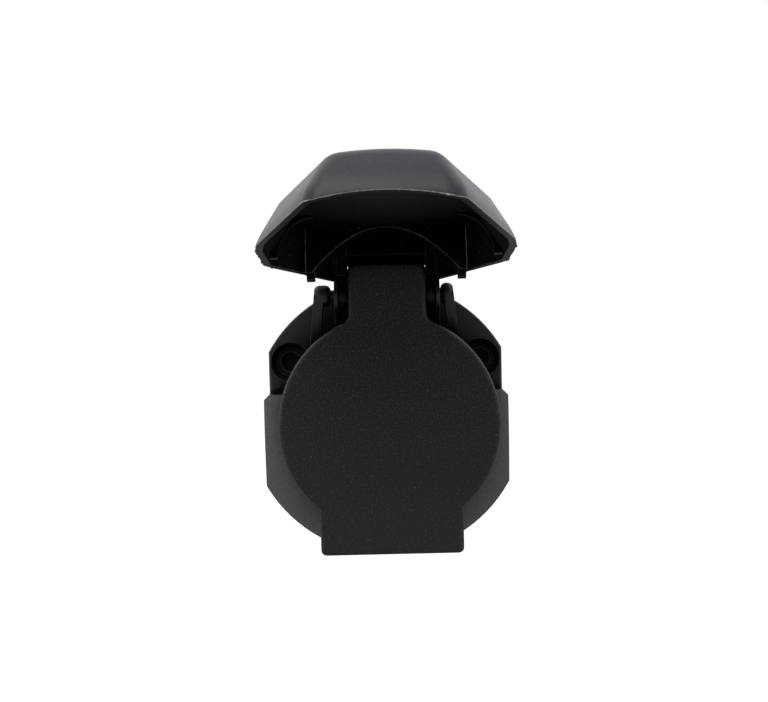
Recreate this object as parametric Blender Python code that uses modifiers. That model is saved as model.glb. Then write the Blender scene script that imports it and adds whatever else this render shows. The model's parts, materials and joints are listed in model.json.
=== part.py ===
"""Trailer socket for a towbar: flanged housing, sprung lid and a weather hood on one hinge pin.

Metres, +Z up. X runs across the part and -Y points out of the socket, towards the plug.
The origin is on the socket's axis, at the rear face of the mounting flange.
"""
import math

import bmesh
import bpy
from mathutils import Matrix, Vector

MM = 0.001
CLEARANCE = 0.3 * MM          # between pieces that seat on each other
RUNNING_GAP = 0.4 * MM        # beside pieces that turn on the pin
OVERCUT = 1.0 * MM            # how far a cutter runs past the face it opens
ROUND = 48                    # sides of a large circle
SMALL_ROUND = 20              # sides of a small circle
CONTACT_ROUND = 12            # sides of a contact sleeve
FLANGE_ARC = 24               # sides of each round end of the flange

# Flange
FLANGE_RADIUS = 39.8 * MM
FLANGE_HALF_WIDTH = 34.5 * MM
FLANGE_THICKNESS = 5.0 * MM
SKIRT_EXTRA = 1.0 * MM        # how much wider the lower half is
SKIRT_TOP = 7.2 * MM          # height of the step in the flange's sides
SKIRT_STEP = 1.5 * MM         # height of the chamfer at that step
SKIRT_RISE = 4.5 * MM
SKIRT_INNER_RADIUS = 31.0 * MM
SKIRT_LIP = 1.2 * MM          # upright edge below the skirt's slope
SCREW_SPACING = 56.0 * MM
SCREW_HEIGHT = 16.5 * MM
SCREW_HOLE_RADIUS = 2.75 * MM
SCREW_SINK_RADIUS = 5.6 * MM
SCREW_SINK_DEPTH = 1.6 * MM

# Collar round the plug
BORE_RADIUS = 18.25 * MM
COLLAR_RADIUS = 24.3 * MM
KEY_GROOVE_WIDTH = 3.4 * MM
KEY_GROOVE_DEPTH = 1.3 * MM
KEY_ANGLES = (90.0, 215.0, 325.0)
SPIGOT_RADIUS = 21.8 * MM
SPIGOT_LENGTH = 12.0 * MM
REAR_BORE_RADIUS = 19.2 * MM
PLUG_DEPTH = 20.6 * MM

# Hinge
HINGE_Z = 36.2 * MM
HINGE_Y = -26.0 * MM
PIN_RADIUS = 1.6 * MM
PIN_CLEARANCE = 0.1 * MM
PIN_ROUND = 16                # sides of the pin and of the holes it runs in
KNUCKLE_RADIUS = 3.0 * MM
KNUCKLE_INNER = 15.5 * MM
KNUCKLE_OUTER = 19.8 * MM
WEB_THICKNESS = 2.7 * MM
WEB_REAR_DROP = 13.5 * MM     # how far the web's top edge falls on its way to the flange
LEDGE_HALF_WIDTH = 7.0 * MM
LEDGE_REACH = 9.4 * MM        # from the pin to the spring's ledge
LEDGE_DROP = 5.2 * MM
LEDGE_HEIGHT = 5.0 * MM

# Lid
LID_RADIUS = 29.8 * MM
LID_THICKNESS = 5.0 * MM
LID_STANDOFF = 6.0 * MM       # lid's front face, in front of the pin
LID_EDGE = 1.4 * MM
LID_PLAY = 1.0 * MM           # how far the lid has slid to the right along the pin
NECK_HALF_WIDTH = 10.9 * MM
NECK_ABOVE_PIN = 9.2 * MM
NECK_CORNER = 2.4 * MM
NECK_FILLET = 3.0 * MM
TAB_HALF_WIDTH = 20.2 * MM
TAB_REACH = 35.7 * MM
TAB_CORNER = 1.5 * MM
LID_WALL = 2.2 * MM
LID_RECESS = 2.4 * MM
BARREL_RADIUS = 4.2 * MM
BARREL_INNER = 7.6 * MM
SEAL_INNER_RADIUS = 18.6 * MM
SEAL_OUTER_RADIUS = 24.6 * MM
PLUG_BOSS_HEIGHT = 0.9 * MM

# Spring
WIRE_RADIUS = 0.55 * MM
COIL_RADIUS = 3.0 * MM
COIL_TURNS = 5
COIL_STEPS = 10               # points in each turn
COIL_HALF_LENGTH = 5.2 * MM
SPRING_LID_LEG = 7.0 * MM
SPRING_HOUSING_LEG = 7.6 * MM
SPRING_LEG_DROP = 3.0 * MM

# Hood
HOOD_TILT = math.radians(16.0)
RIM_OFFSET = 3.5 * MM         # rim plane, above the pin on the roof's side
HOOD_REAR = 1.0 * MM          # rear wall, from the pin along the rim
HOOD_LENGTH = 76.5 * MM
HOOD_WALL = 1.8 * MM
REAR_HALF_WIDTH = 15.0 * MM
SHOULDER_HALF_WIDTH = 24.0 * MM
SHOULDER_AT = 9.0 * MM
HOOD_HALF_WIDTH = 33.8 * MM
WIDEST_FROM = 17.0 * MM
WIDEST_TO = 32.0 * MM
END_HALF_WIDTH = 18.0 * MM
SIDE_DRAFT = 5.3 * MM         # how much each wall leans in between rim and roof
REAR_DRAFT = 0.4 * MM
ROOF_AT_HINGE = 15.5 * MM
ROOF_AT_END = 12.0 * MM
HOOD_CORNER = 2.2 * MM
BRIDGE_FRONT = 12.0 * MM      # front face of the bridge over the pin
BRIDGE_HALF_WIDTH = 23.0 * MM
ARCH_HALF_WIDTH = 20.3 * MM
ARCH_HEIGHT = 12.8 * MM
ARCH_ROUND = 20
REAR_WALL = 1.8 * MM
HOOK_REACH = 2.4 * MM
HOOK_WIDTH = 3.0 * MM
HOOK_DEPTH = 3.0 * MM
ARM_INNER = 12.2 * MM
ARM_OUTER = 15.1 * MM
ARM_EDGE = 0.9 * MM           # raised outer edge of each arm
ARM_BOSS_RADIUS = 3.25 * MM
ARM_TAIL = 10.8 * MM
ARM_FRONT = 1.8 * MM
ARM_BACK = 1.6 * MM
ARM_NOTCH_TOP = 5.8 * MM
TAIL_FRONT = 0.6 * MM
ARM_RISE = 0.93               # share of the way to the roof that the arms' strips reach

# Contacts and their carrier
OUTER_CONTACTS = 8
OUTER_CONTACT_CIRCLE = 13.2 * MM
INNER_CONTACTS = 5
INNER_CONTACT_CIRCLE = 6.4 * MM
SLEEVE_RADIUS = 2.0 * MM
SLEEVE_BORE = 1.25 * MM
SLEEVE_BORE_DEPTH = 9.0 * MM
SHANK_RADIUS = 1.4 * MM
SHANK_LENGTH = 5.0 * MM
CONTACT_SETBACK = 0.8 * MM
CARRIER_LENGTH = 12.0 * MM
CARRIER_SHOULDER = 4.0 * MM
LOCK_THICKNESS = 2.0 * MM

# Gasket and rear boot
GASKET_THICKNESS = 1.5 * MM
GASKET_INSET = 0.6 * MM
GASKET_HOLE_RADIUS = 25.4 * MM
BOOT_WALL = 2.0 * MM
BOOT_LENGTH = 27.0 * MM
BOOT_SHOULDER = 16.0 * MM
GLAND_RADIUS = 7.5 * MM
GLAND_BORE_RADIUS = 4.5 * MM

# Places worked out from the sizes above
FLANGE_FRONT = -FLANGE_THICKNESS
LID_FRONT = HINGE_Y - LID_STANDOFF
LID_REAR = LID_FRONT + LID_THICKNESS
COLLAR_FRONT = LID_REAR + 1.3 * MM
SEAL_FRONT = LID_REAR - LID_RECESS + CLEARANCE
SEAL_REAR = COLLAR_FRONT - CLEARANCE
CARRIER_FRONT = COLLAR_FRONT + PLUG_DEPTH
CARRIER_STEP = CARRIER_FRONT + CARRIER_LENGTH - CARRIER_SHOULDER - LOCK_THICKNESS
CARRIER_REAR = CARRIER_STEP + CARRIER_SHOULDER
PIN_BORE_RADIUS = PIN_RADIUS + PIN_CLEARANCE

PLASTIC = (0.028, 0.027, 0.030)


def clear_scene():
    for old in list(bpy.data.objects):
        bpy.data.objects.remove(old, do_unlink=True)


def new_collection(name):
    collection = bpy.data.collections.new(name)
    bpy.context.scene.collection.children.link(collection)
    return collection


clear_scene()
PARTS = new_collection("towbar_socket")
CUTTERS = new_collection("cutters")


def slide_along_pin(made):
    """Put a piece of the lid, and its tools, where its play on the pin is taken up to the right."""
    tools = [step.object for step in made.modifiers if step.type == "BOOLEAN"]
    for piece in [made] + tools:
        piece.location.x = LID_PLAY
    return made


def material(name, colour, roughness, metallic=0.0):
    made = bpy.data.materials.new(name)
    made.use_nodes = True
    shader = made.node_tree.nodes["Principled BSDF"]
    shader.inputs["Base Color"].default_value = (*colour, 1.0)
    shader.inputs["Roughness"].default_value = roughness
    shader.inputs["Metallic"].default_value = metallic
    return made


def object_from(name, shape, collection=CUTTERS):
    """An object made from a bmesh, kept as a hidden tool unless it goes with the parts."""
    mesh = bpy.data.meshes.new(name)
    bmesh.ops.recalc_face_normals(shape, faces=shape.faces)
    shape.to_mesh(mesh)
    shape.free()
    made = bpy.data.objects.new(name, mesh)
    collection.objects.link(made)
    if collection is CUTTERS:
        made.hide_render = True
        made.display_type = "WIRE"
    return made


def finish(made, name, surface, angle=40.0):
    """Turn a tool into a part: its name, its collection, its material and its smooth shading."""
    CUTTERS.objects.unlink(made)
    PARTS.objects.link(made)
    made.name = name
    made.hide_render = False
    made.display_type = "TEXTURED"
    made.data.materials.clear()
    made.data.materials.append(surface)
    made.data.shade_smooth()
    made.data.set_sharp_from_angle(angle=math.radians(angle))
    return made


def combine(target, tool, operation):
    modifier = target.modifiers.new(operation.lower(), "BOOLEAN")
    modifier.operation = operation
    modifier.solver = "EXACT"
    modifier.object = tool
    return target


def join(target, *tools):
    for tool in tools:
        combine(target, tool, "UNION")
    return target


def cut(target, *tools):
    for tool in tools:
        combine(target, tool, "DIFFERENCE")
    return target


def keep(target, *tools):
    for tool in tools:
        combine(target, tool, "INTERSECT")
    return target


def mirror_half(target):
    """Replace the right half of a symmetric piece by the mirror image of its left half."""
    modifier = target.modifiers.new("mirror", "MIRROR")
    modifier.use_bisect_axis[0] = True
    modifier.use_bisect_flip_axis[0] = True
    modifier.use_clip = True
    modifier.merge_threshold = 0.00002
    return target


def round_edges(target, width, segments=3, angle=40.0):
    modifier = target.modifiers.new("rounding", "BEVEL")
    modifier.width = width
    modifier.segments = segments
    modifier.limit_method = "ANGLE"
    modifier.angle_limit = math.radians(angle)
    return target


def block(x_range, y_range, z_range):
    low = Vector((x_range[0], y_range[0], z_range[0]))
    high = Vector((x_range[1], y_range[1], z_range[1]))
    shape = bmesh.new()
    place = Matrix.Translation((low + high) / 2) @ Matrix.Diagonal((*(high - low), 1.0))
    bmesh.ops.create_cube(shape, size=1.0, matrix=place)
    return object_from("block", shape)


def cone_along(axis, start, end, radius, end_radius, centre, sides):
    """A round bar or cone along X or Y, from start to end, on a centre line through (across, z)."""
    shape = bmesh.new()
    across, height = centre
    middle = (start + end) / 2
    if axis == "X":
        place = Matrix.Translation((middle, across, height)) @ Matrix.Rotation(math.pi / 2, 4, "Y")
    else:
        place = Matrix.Translation((across, middle, height)) @ Matrix.Rotation(-math.pi / 2, 4, "X")
    bmesh.ops.create_cone(
        shape, cap_ends=True, segments=sides, radius1=radius, radius2=end_radius,
        depth=end - start, matrix=place)
    return object_from("round", shape)


def rod_along(axis, start, end, radius, centre=(0.0, 0.0), sides=ROUND):
    return cone_along(axis, start, end, radius, radius, centre, sides)


def mesh_from_curve(curve_object):
    """The curve's solid as a mesh, with its caps welded on."""
    depsgraph = bpy.context.evaluated_depsgraph_get()
    mesh = bpy.data.meshes.new_from_object(curve_object.evaluated_get(depsgraph))
    shape = bmesh.new()
    shape.from_mesh(mesh)
    bpy.data.meshes.remove(mesh)
    bmesh.ops.remove_doubles(shape, verts=shape.verts, dist=0.000001)
    shape.transform(curve_object.matrix_world)
    bpy.data.objects.remove(curve_object)
    return object_from("outline", shape)


def plate(points, start, end, edge=0.0):
    """A flat outline in (x, z), as thick as start to end along Y, with both edges rounded."""
    return mesh_from_curve(flat_curve(points, start, end, edge, "Y"))


def side_plate(points, start, end, edge=0.0):
    """A flat outline in (y, z), as thick as start to end along X."""
    return mesh_from_curve(flat_curve(points, start, end, edge, "X"))


def flat_curve(points, start, end, edge, axis):
    data = bpy.data.curves.new("outline", "CURVE")
    data.dimensions = "2D"
    data.fill_mode = "BOTH"
    data.extrude = (end - start) / 2 - edge
    data.bevel_depth = edge
    data.bevel_resolution = 1
    data.offset = -edge
    spline = data.splines.new("POLY")
    spline.points.add(len(points) - 1)
    for point, (a, b) in zip(spline.points, points):
        point.co = (a, b, 0.0, 1.0)
    spline.use_cyclic_u = True
    made = bpy.data.objects.new("outline", data)
    PARTS.objects.link(made)
    middle = (start + end) / 2
    if axis == "Y":
        made.matrix_world = Matrix.Translation((0, middle, 0)) @ Matrix.Rotation(math.pi / 2, 4, "X")
    else:
        turn = Matrix.Rotation(math.pi / 2, 4, "Z") @ Matrix.Rotation(math.pi / 2, 4, "X")
        made.matrix_world = Matrix.Translation((middle, 0, 0)) @ turn
    bpy.context.view_layer.update()
    return made


def arc(centre, radius, start, end, steps):
    """Points on a circle from one angle to another, in degrees."""
    points = []
    for i in range(steps + 1):
        angle = math.radians(start + (end - start) * i / steps)
        points.append((centre[0] + radius * math.cos(angle), centre[1] + radius * math.sin(angle)))
    return points


def mirrored(right_half):
    """The whole outline, from its right half listed from top to bottom."""
    return right_half + [(-x, z) for x, z in reversed(right_half)]


def clipped_circle(radius, half_width):
    """A circle with two upright flats."""
    corner = math.degrees(math.acos(half_width / radius))
    top = arc((0, 0), radius, 180.0 - corner, corner, FLANGE_ARC)
    bottom = arc((0, 0), radius, -corner, corner - 180.0, FLANGE_ARC)
    return top + bottom


def turned(name, profile, axis_matrix, sides, ring=False):
    """A solid of revolution. The profile runs down the outer side in (radius, height) pairs."""
    shape = bmesh.new()
    corners = [shape.verts.new((r, 0.0, h)) for r, h in profile]
    following = corners[1:] + (corners[:1] if ring else [])
    for a, b in zip(corners, following):
        shape.edges.new((a, b))
    made = object_from(name, shape)
    screw = made.modifiers.new("turn", "SCREW")
    screw.steps = sides
    screw.render_steps = sides
    screw.use_merge_vertices = True
    screw.merge_threshold = 0.00001
    screw.use_normal_calculate = False
    made.matrix_world = axis_matrix
    return made


def socket_axis(y):
    """Stand a turned shape on the socket's axis: its height runs from y towards the rear."""
    return Matrix.Translation((0, y, 0)) @ Matrix.Rotation(-math.pi / 2, 4, "X")


def screw_places():
    """The three screws: two beside the hinge and one at the bottom, on one circle."""
    half = SCREW_SPACING / 2
    circle = math.hypot(half, SCREW_HEIGHT)
    return [(-half, SCREW_HEIGHT), (half, SCREW_HEIGHT), (0.0, -circle)]


def contact_places():
    places = []
    for i in range(OUTER_CONTACTS):
        angle = math.radians(90.0 + 360.0 * (i + 0.5) / OUTER_CONTACTS)
        places.append((OUTER_CONTACT_CIRCLE * math.cos(angle), OUTER_CONTACT_CIRCLE * math.sin(angle)))
    for i in range(INNER_CONTACTS):
        angle = math.radians(90.0 + 360.0 * i / INNER_CONTACTS)
        places.append((INNER_CONTACT_CIRCLE * math.cos(angle), INNER_CONTACT_CIRCLE * math.sin(angle)))
    return places


def skirt():
    """The wider lower half of the flange, with its front sloping up to the collar."""
    half_width = FLANGE_HALF_WIDTH + SKIRT_EXTRA
    radius = FLANGE_RADIUS + SKIRT_EXTRA / 2
    rise = FLANGE_FRONT - SKIRT_LIP
    slope = cone_along("Y", rise - SKIRT_RISE, rise, SKIRT_INNER_RADIUS, radius + SKIRT_EXTRA,
                       (0, 0), ROUND)
    lip = rod_along("Y", rise - SKIRT_LIP / 4, -CLEARANCE, radius, sides=ROUND)
    below = -FLANGE_RADIUS - SKIRT_EXTRA - OVERCUT
    lower = [
        (half_width - SKIRT_STEP, SKIRT_TOP), (half_width, SKIRT_TOP - SKIRT_STEP), (half_width, below)]
    whole = keep(join(lip, slope), plate(mirrored(lower), -FLANGE_RADIUS, OVERCUT))
    return whole


def hinge_lug(side):
    """One hinge knuckle on its web, which slopes back to the flange and down to the collar."""
    inner, outer = KNUCKLE_INNER, KNUCKLE_OUTER
    back = -HINGE_Y + FLANGE_FRONT
    r = KNUCKLE_RADIUS
    web = [
        (HINGE_Y - r * 0.98, HINGE_Z - r * 0.1), (HINGE_Y - r * 0.5, HINGE_Z + r * 0.7),
        (HINGE_Y + r * 0.8, HINGE_Z - r * 0.45),
        (HINGE_Y + back + OVERCUT, HINGE_Z - WEB_REAR_DROP),
        (HINGE_Y + back + OVERCUT, 0.0),
        (HINGE_Y + r, COLLAR_RADIUS * 0.6)]
    low, high = sorted((side * (outer - WEB_THICKNESS), side * outer))
    lug = side_plate(web, low, high)
    low, high = sorted((side * inner, side * outer))
    knuckle = rod_along("X", low, high, r, (HINGE_Y, HINGE_Z), sides=SMALL_ROUND)
    return join(lug, round_edges(knuckle, 0.8 * MM, 2))


def spring_ledge():
    """The block on the flange that the spring's housing leg bears on."""
    top = HINGE_Z - LEDGE_DROP
    return block((-LEDGE_HALF_WIDTH, LEDGE_HALF_WIDTH), (HINGE_Y + LEDGE_REACH, FLANGE_FRONT + OVERCUT),
                 (top - LEDGE_HEIGHT, top))


def make_housing(surface):
    body = plate(clipped_circle(FLANGE_RADIUS, FLANGE_HALF_WIDTH), FLANGE_FRONT, 0.0, 0.6 * MM)
    collar = rod_along("Y", COLLAR_FRONT, -OVERCUT, COLLAR_RADIUS)
    spigot = rod_along("Y", -2 * OVERCUT, SPIGOT_LENGTH, SPIGOT_RADIUS)
    join(body, skirt(), collar, spigot)
    for side in (-1, 1):
        join(body, hinge_lug(side))
    join(body, spring_ledge())
    cut(body, rod_along("Y", COLLAR_FRONT - OVERCUT, SPIGOT_LENGTH + OVERCUT, BORE_RADIUS))
    cut(body, rod_along("Y", CARRIER_STEP - CLEARANCE, SPIGOT_LENGTH + OVERCUT, REAR_BORE_RADIUS))
    for angle in KEY_ANGLES:
        cut(body, key_groove(angle))
    for x, z in screw_places():
        cut(body, screw_hole(x, z))
    cut(body, pin_hole(KNUCKLE_OUTER))
    return finish(body, "housing", surface)


def pin_hole(half_width):
    """The pin's running hole, right through a piece of this half-width."""
    return rod_along("X", -half_width - OVERCUT, half_width + OVERCUT, PIN_BORE_RADIUS,
                     (HINGE_Y, HINGE_Z), PIN_ROUND)


def key_groove(angle):
    """A guide groove along the bore for one of the plug's keys."""
    half = KEY_GROOVE_WIDTH / 2
    groove = block((BORE_RADIUS - 2 * MM, BORE_RADIUS + KEY_GROOVE_DEPTH),
                   (COLLAR_FRONT - OVERCUT, CARRIER_FRONT + OVERCUT), (-half, half))
    groove.data.transform(Matrix.Rotation(math.radians(-angle), 4, "Y"))
    return groove


def screw_hole(x, z):
    hole = rod_along("Y", -FLANGE_RADIUS, OVERCUT, SCREW_HOLE_RADIUS, (x, z), SMALL_ROUND)
    floor = FLANGE_FRONT + SCREW_SINK_DEPTH
    sink = cone_along("Y", floor - SKIRT_RISE * 2, floor, SCREW_SINK_RADIUS + SCREW_SINK_DEPTH,
                      SCREW_SINK_RADIUS - 0.6 * MM, (x, z), SMALL_ROUND)
    return join(hole, sink)


def lid_outline():
    """Disc, neck and tab in one outline, from the top down the right side."""
    top = HINGE_Z + NECK_ABOVE_PIN
    corner = arc((NECK_HALF_WIDTH - NECK_CORNER, top - NECK_CORNER), NECK_CORNER, 90, 0, 4)
    reach = NECK_HALF_WIDTH + NECK_FILLET
    fillet_z = math.sqrt((LID_RADIUS + NECK_FILLET) ** 2 - reach ** 2)
    meet = math.degrees(math.atan2(fillet_z, reach))
    fillet = arc((reach, fillet_z), NECK_FILLET, 180, 180 + meet, 5)
    last = -math.degrees(math.acos(TAB_HALF_WIDTH / LID_RADIUS))
    disc = arc((0, 0), LID_RADIUS, meet, last, 26)
    foot = arc((TAB_HALF_WIDTH - TAB_CORNER, TAB_CORNER - TAB_REACH), TAB_CORNER, 0, -90, 3)
    return mirrored(corner + fillet + disc[1:] + foot)


def lid_barrel():
    """The lid's bar round the pin, which the coil's space then parts into two barrels."""
    half = NECK_HALF_WIDTH - CLEARANCE / 3
    return rod_along("X", -half, half, BARREL_RADIUS, (HINGE_Y, HINGE_Z), SMALL_ROUND)


def tab_pocket():
    """The hollow behind the thumb tab, which keeps the tab's wall even."""
    top = -LID_RADIUS + LID_WALL
    return block((LID_WALL - TAB_HALF_WIDTH, TAB_HALF_WIDTH - LID_WALL),
                 (LID_REAR - LID_RECESS, LID_REAR + OVERCUT), (LID_WALL - TAB_REACH, top - LID_WALL))


def make_lid(surface):
    lid = plate(lid_outline(), LID_FRONT, LID_REAR, LID_EDGE)
    recess = rod_along("Y", LID_REAR - LID_RECESS, LID_REAR + OVERCUT, LID_RADIUS - LID_WALL)
    boss = rod_along("Y", LID_REAR - LID_RECESS - OVERCUT, LID_REAR + PLUG_BOSS_HEIGHT,
                     SEAL_INNER_RADIUS - CLEARANCE - 0.8 * MM)
    cut(lid, recess, tab_pocket())
    coil_space = rod_along("X", -BARREL_INNER, BARREL_INNER, BARREL_RADIUS + CLEARANCE,
                           (HINGE_Y, HINGE_Z), SMALL_ROUND)
    leg_x = COIL_HALF_LENGTH
    leg_front = HINGE_Y - COIL_RADIUS - WIRE_RADIUS - CLEARANCE
    leg_groove = block((leg_x - 1.0 * MM, leg_x + 1.0 * MM), (leg_front, LID_REAR + OVERCUT),
                       (HINGE_Z, HINGE_Z + NECK_ABOVE_PIN - LID_WALL + CLEARANCE))
    join(lid, boss, lid_barrel())
    cut(lid, coil_space, leg_groove)
    cut(lid, pin_hole(NECK_HALF_WIDTH))
    return slide_along_pin(finish(lid, "lid", surface))


def make_lid_seal(surface):
    """Flat ring in the lid's recess, round the lid's boss, with one rounded lip on the collar."""
    lip = (SEAL_INNER_RADIUS + SEAL_OUTER_RADIUS) / 2
    depth = SEAL_REAR - SEAL_FRONT
    base = depth * 0.6
    profile = [
        (lip + 0.6 * MM, depth), (lip + 1.2 * MM, base), (SEAL_OUTER_RADIUS, base),
        (SEAL_OUTER_RADIUS, 0.0), (SEAL_INNER_RADIUS, 0.0), (SEAL_INNER_RADIUS, base),
        (lip - 1.2 * MM, base), (lip - 0.6 * MM, depth)]
    ring = turned("lid_seal", profile, socket_axis(SEAL_FRONT), ROUND, ring=True)
    return slide_along_pin(finish(ring, "lid_seal", surface))


def make_hinge_pin(surface):
    reach = KNUCKLE_OUTER - CLEARANCE
    pin = rod_along("X", -reach, reach, PIN_RADIUS, (HINGE_Y, HINGE_Z), PIN_ROUND)
    return finish(pin, "hinge_pin", surface)


def spring_path():
    """One leg up behind the lid's neck, the coil round the pin, and one leg back to the ledge."""
    points = [(COIL_HALF_LENGTH, -COIL_RADIUS, SPRING_LID_LEG)]
    steps = COIL_TURNS * COIL_STEPS + COIL_STEPS // 4
    for i in range(steps + 1):
        angle = math.pi + 2 * math.pi * i / COIL_STEPS
        x = COIL_HALF_LENGTH - 2 * COIL_HALF_LENGTH * i / steps
        points.append((x, COIL_RADIUS * math.cos(angle), COIL_RADIUS * math.sin(angle)))
    points.append((-COIL_HALF_LENGTH, SPRING_HOUSING_LEG, -COIL_RADIUS - SPRING_LEG_DROP))
    return [(x, HINGE_Y + y, HINGE_Z + z) for x, y, z in points]


def make_lid_spring(surface):
    data = bpy.data.curves.new("lid_spring", "CURVE")
    data.dimensions = "3D"
    data.bevel_depth = WIRE_RADIUS
    data.bevel_resolution = 1
    data.use_fill_caps = True
    spline = data.splines.new("POLY")
    points = spring_path()
    spline.points.add(len(points) - 1)
    for point, place in zip(spline.points, points):
        point.co = (*place, 1.0)
    made = bpy.data.objects.new("coil", data)
    PARTS.objects.link(made)
    bpy.context.view_layer.update()
    return slide_along_pin(finish(mesh_from_curve(made), "lid_spring", surface, 80.0))


def lay_hood(tool):
    """Move a shape from the hood's own frame to its open place on the pin.

    In that frame the pin is the X axis, -Y runs along the rim and +Z points to the roof.
    """
    tool.matrix_world = Matrix.Translation((0, HINGE_Y, HINGE_Z)) @ Matrix.Rotation(-HOOD_TILT, 4, "X")
    return tool


def rim_corners():
    """Right half of the rim's outline: half-width and distance from the pin."""
    return [
        (REAR_HALF_WIDTH, HOOD_REAR), (SHOULDER_HALF_WIDTH, SHOULDER_AT),
        (HOOD_HALF_WIDTH, WIDEST_FROM), (HOOD_HALF_WIDTH, WIDEST_TO), (END_HALF_WIDTH, HOOD_LENGTH)]


def inset_outline(inset, rear_inset):
    """The rim's outline moved inwards, as points from the rear to the end of the right side."""
    corners = rim_corners()
    lines = []
    for (x0, s0), (x1, s1) in zip(corners, corners[1:]):
        length = math.hypot(x1 - x0, s1 - s0)
        normal = ((s1 - s0) / length, -(x1 - x0) / length)
        lines.append((normal, normal[0] * x0 + normal[1] * s0 - inset))
    rear = ((0.0, -1.0), -(HOOD_REAR + rear_inset))
    front = ((0.0, 1.0), HOOD_LENGTH - inset)
    points = []
    for (n0, d0), (n1, d1) in zip([rear] + lines, lines + [front]):
        bottom = n0[0] * n1[1] - n0[1] * n1[0]
        points.append(((d0 * n1[1] - d1 * n0[1]) / bottom, (n0[0] * d1 - n1[0] * d0) / bottom))
    return points


def hood_form(inset, low, drop):
    """A loft from the rim's outline up to the roof, with leaning walls."""
    bottom = inset_outline(inset, inset)
    top = inset_outline(inset + SIDE_DRAFT, inset + REAR_DRAFT)
    shape = bmesh.new()
    rings = []
    for outline, level in ((bottom, None), (top, drop)):
        whole = outline + [(-x, s) for x, s in reversed(outline)]
        rings.append([shape.verts.new((x, -s, RIM_OFFSET + (low if level is None else roof(s) - level)))
                      for x, s in whole])
    count = len(rings[0])
    for i in range(count):
        j = (i + 1) % count
        shape.faces.new((rings[0][i], rings[0][j], rings[1][j], rings[1][i]))
    shape.faces.new(rings[0][::-1])
    shape.faces.new(rings[1])
    return lay_hood(object_from("hood_form", shape))


def roof(s):
    """Height of the roof's outer face above the rim plane."""
    share = (s - HOOD_REAR) / (HOOD_LENGTH - HOOD_REAR)
    return ROOF_AT_HINGE + (ROOF_AT_END - ROOF_AT_HINGE) * share


def arch_opening():
    """The arched tunnel through the bridge, as wide as the lid's neck and the arms need."""
    drop = -2.0 * OVERCUT
    points = [(ARCH_HALF_WIDTH, drop)]
    for i in range(ARCH_ROUND + 1):
        share = 1.0 - 2.0 * i / ARCH_ROUND
        points.append((ARCH_HALF_WIDTH * share, ARCH_HEIGHT * (1.0 - share * share)))
    points.append((-ARCH_HALF_WIDTH, drop))
    raised = [(x, z + RIM_OFFSET) for x, z in points]
    return lay_hood(plate(raised, -BRIDGE_FRONT - OVERCUT, -HOOD_REAR - REAR_WALL))


def hood_bridge():
    """The block over the pin that carries the tunnel, from wall to wall of the hood."""
    return lay_hood(block((-BRIDGE_HALF_WIDTH, BRIDGE_HALF_WIDTH), (-BRIDGE_FRONT, -HOOD_REAR),
                          (RIM_OFFSET, RIM_OFFSET + ROOF_AT_HINGE - HOOD_WALL / 2)))


def rear_gap():
    """The opening in the rear wall between the arms, clear of the lid's neck as it turns."""
    sweep = math.hypot(NECK_ABOVE_PIN, LID_STANDOFF) + 2 * RUNNING_GAP
    half = ARM_INNER + CLEARANCE / 3
    return lay_hood(block((-half, half), (-HOOD_REAR - REAR_WALL - OVERCUT, OVERCUT), (0.0, sweep)))


def hood_hook():
    """The small hook at the foot of the bridge's left leg."""
    return lay_hood(block((-BRIDGE_HALF_WIDTH + CLEARANCE, HOOK_WIDTH - BRIDGE_HALF_WIDTH), (-BRIDGE_FRONT, HOOK_DEPTH - BRIDGE_FRONT),
                          (RIM_OFFSET - HOOK_REACH, RIM_OFFSET + OVERCUT)))


def at_rest(y, z):
    """A point given from the pin in the open pose, in the hood's own frame."""
    c, s = math.cos(HOOD_TILT), math.sin(HOOD_TILT)
    return (y * c - z * s, y * s + z * c)


def arm_reach():
    """How far an arm rises from the pin to run into the roof."""
    return RIM_OFFSET + ROOF_AT_HINGE - HOOD_WALL / 2


def arm_outline(top, front, tail_front, back, tail, radius, notch_top=None):
    """An upright strip that swells into a round boss at the pin, from the top down its front."""
    notch = [] if notch_top is None else [(-front, notch_top), (-tail_front, notch_top)]
    upper = math.degrees(math.acos(-(tail_front if notch else front) / radius))
    lower = 360 - math.degrees(math.acos(-tail_front / radius))
    rear = math.degrees(math.acos(back / radius))
    return [
        (-front, top), *notch, *arc((0, 0), radius, upper, lower, 8), (-tail_front, -tail),
        (back, -tail), *arc((0, 0), radius, -rear, rear, 6), (back, top)]


def hood_arm():
    """The left arm from the hood's roof down to the pin, with a boss, a notch and a short tail."""
    inset = CLEARANCE / 3
    top = arm_reach() * ARM_RISE
    inner_strip = arm_outline(top, ARM_FRONT, TAIL_FRONT, ARM_BACK - inset, ARM_TAIL - inset,
                              ARM_BOSS_RADIUS, ARM_NOTCH_TOP)
    raised_edge = arm_outline(top - ARM_EDGE, ARM_FRONT + inset, TAIL_FRONT + inset / 2, ARM_BACK, ARM_TAIL,
                              ARM_BOSS_RADIUS + ARM_EDGE)
    middle = ARM_EDGE / 2 - ARM_OUTER
    arm = lay_hood(side_plate([at_rest(y, z) for y, z in inner_strip], middle, -ARM_INNER))
    edge = lay_hood(side_plate([at_rest(y, z) for y, z in raised_edge], -ARM_OUTER,
                               ARM_EDGE - ARM_OUTER))
    return [arm, edge]


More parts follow.
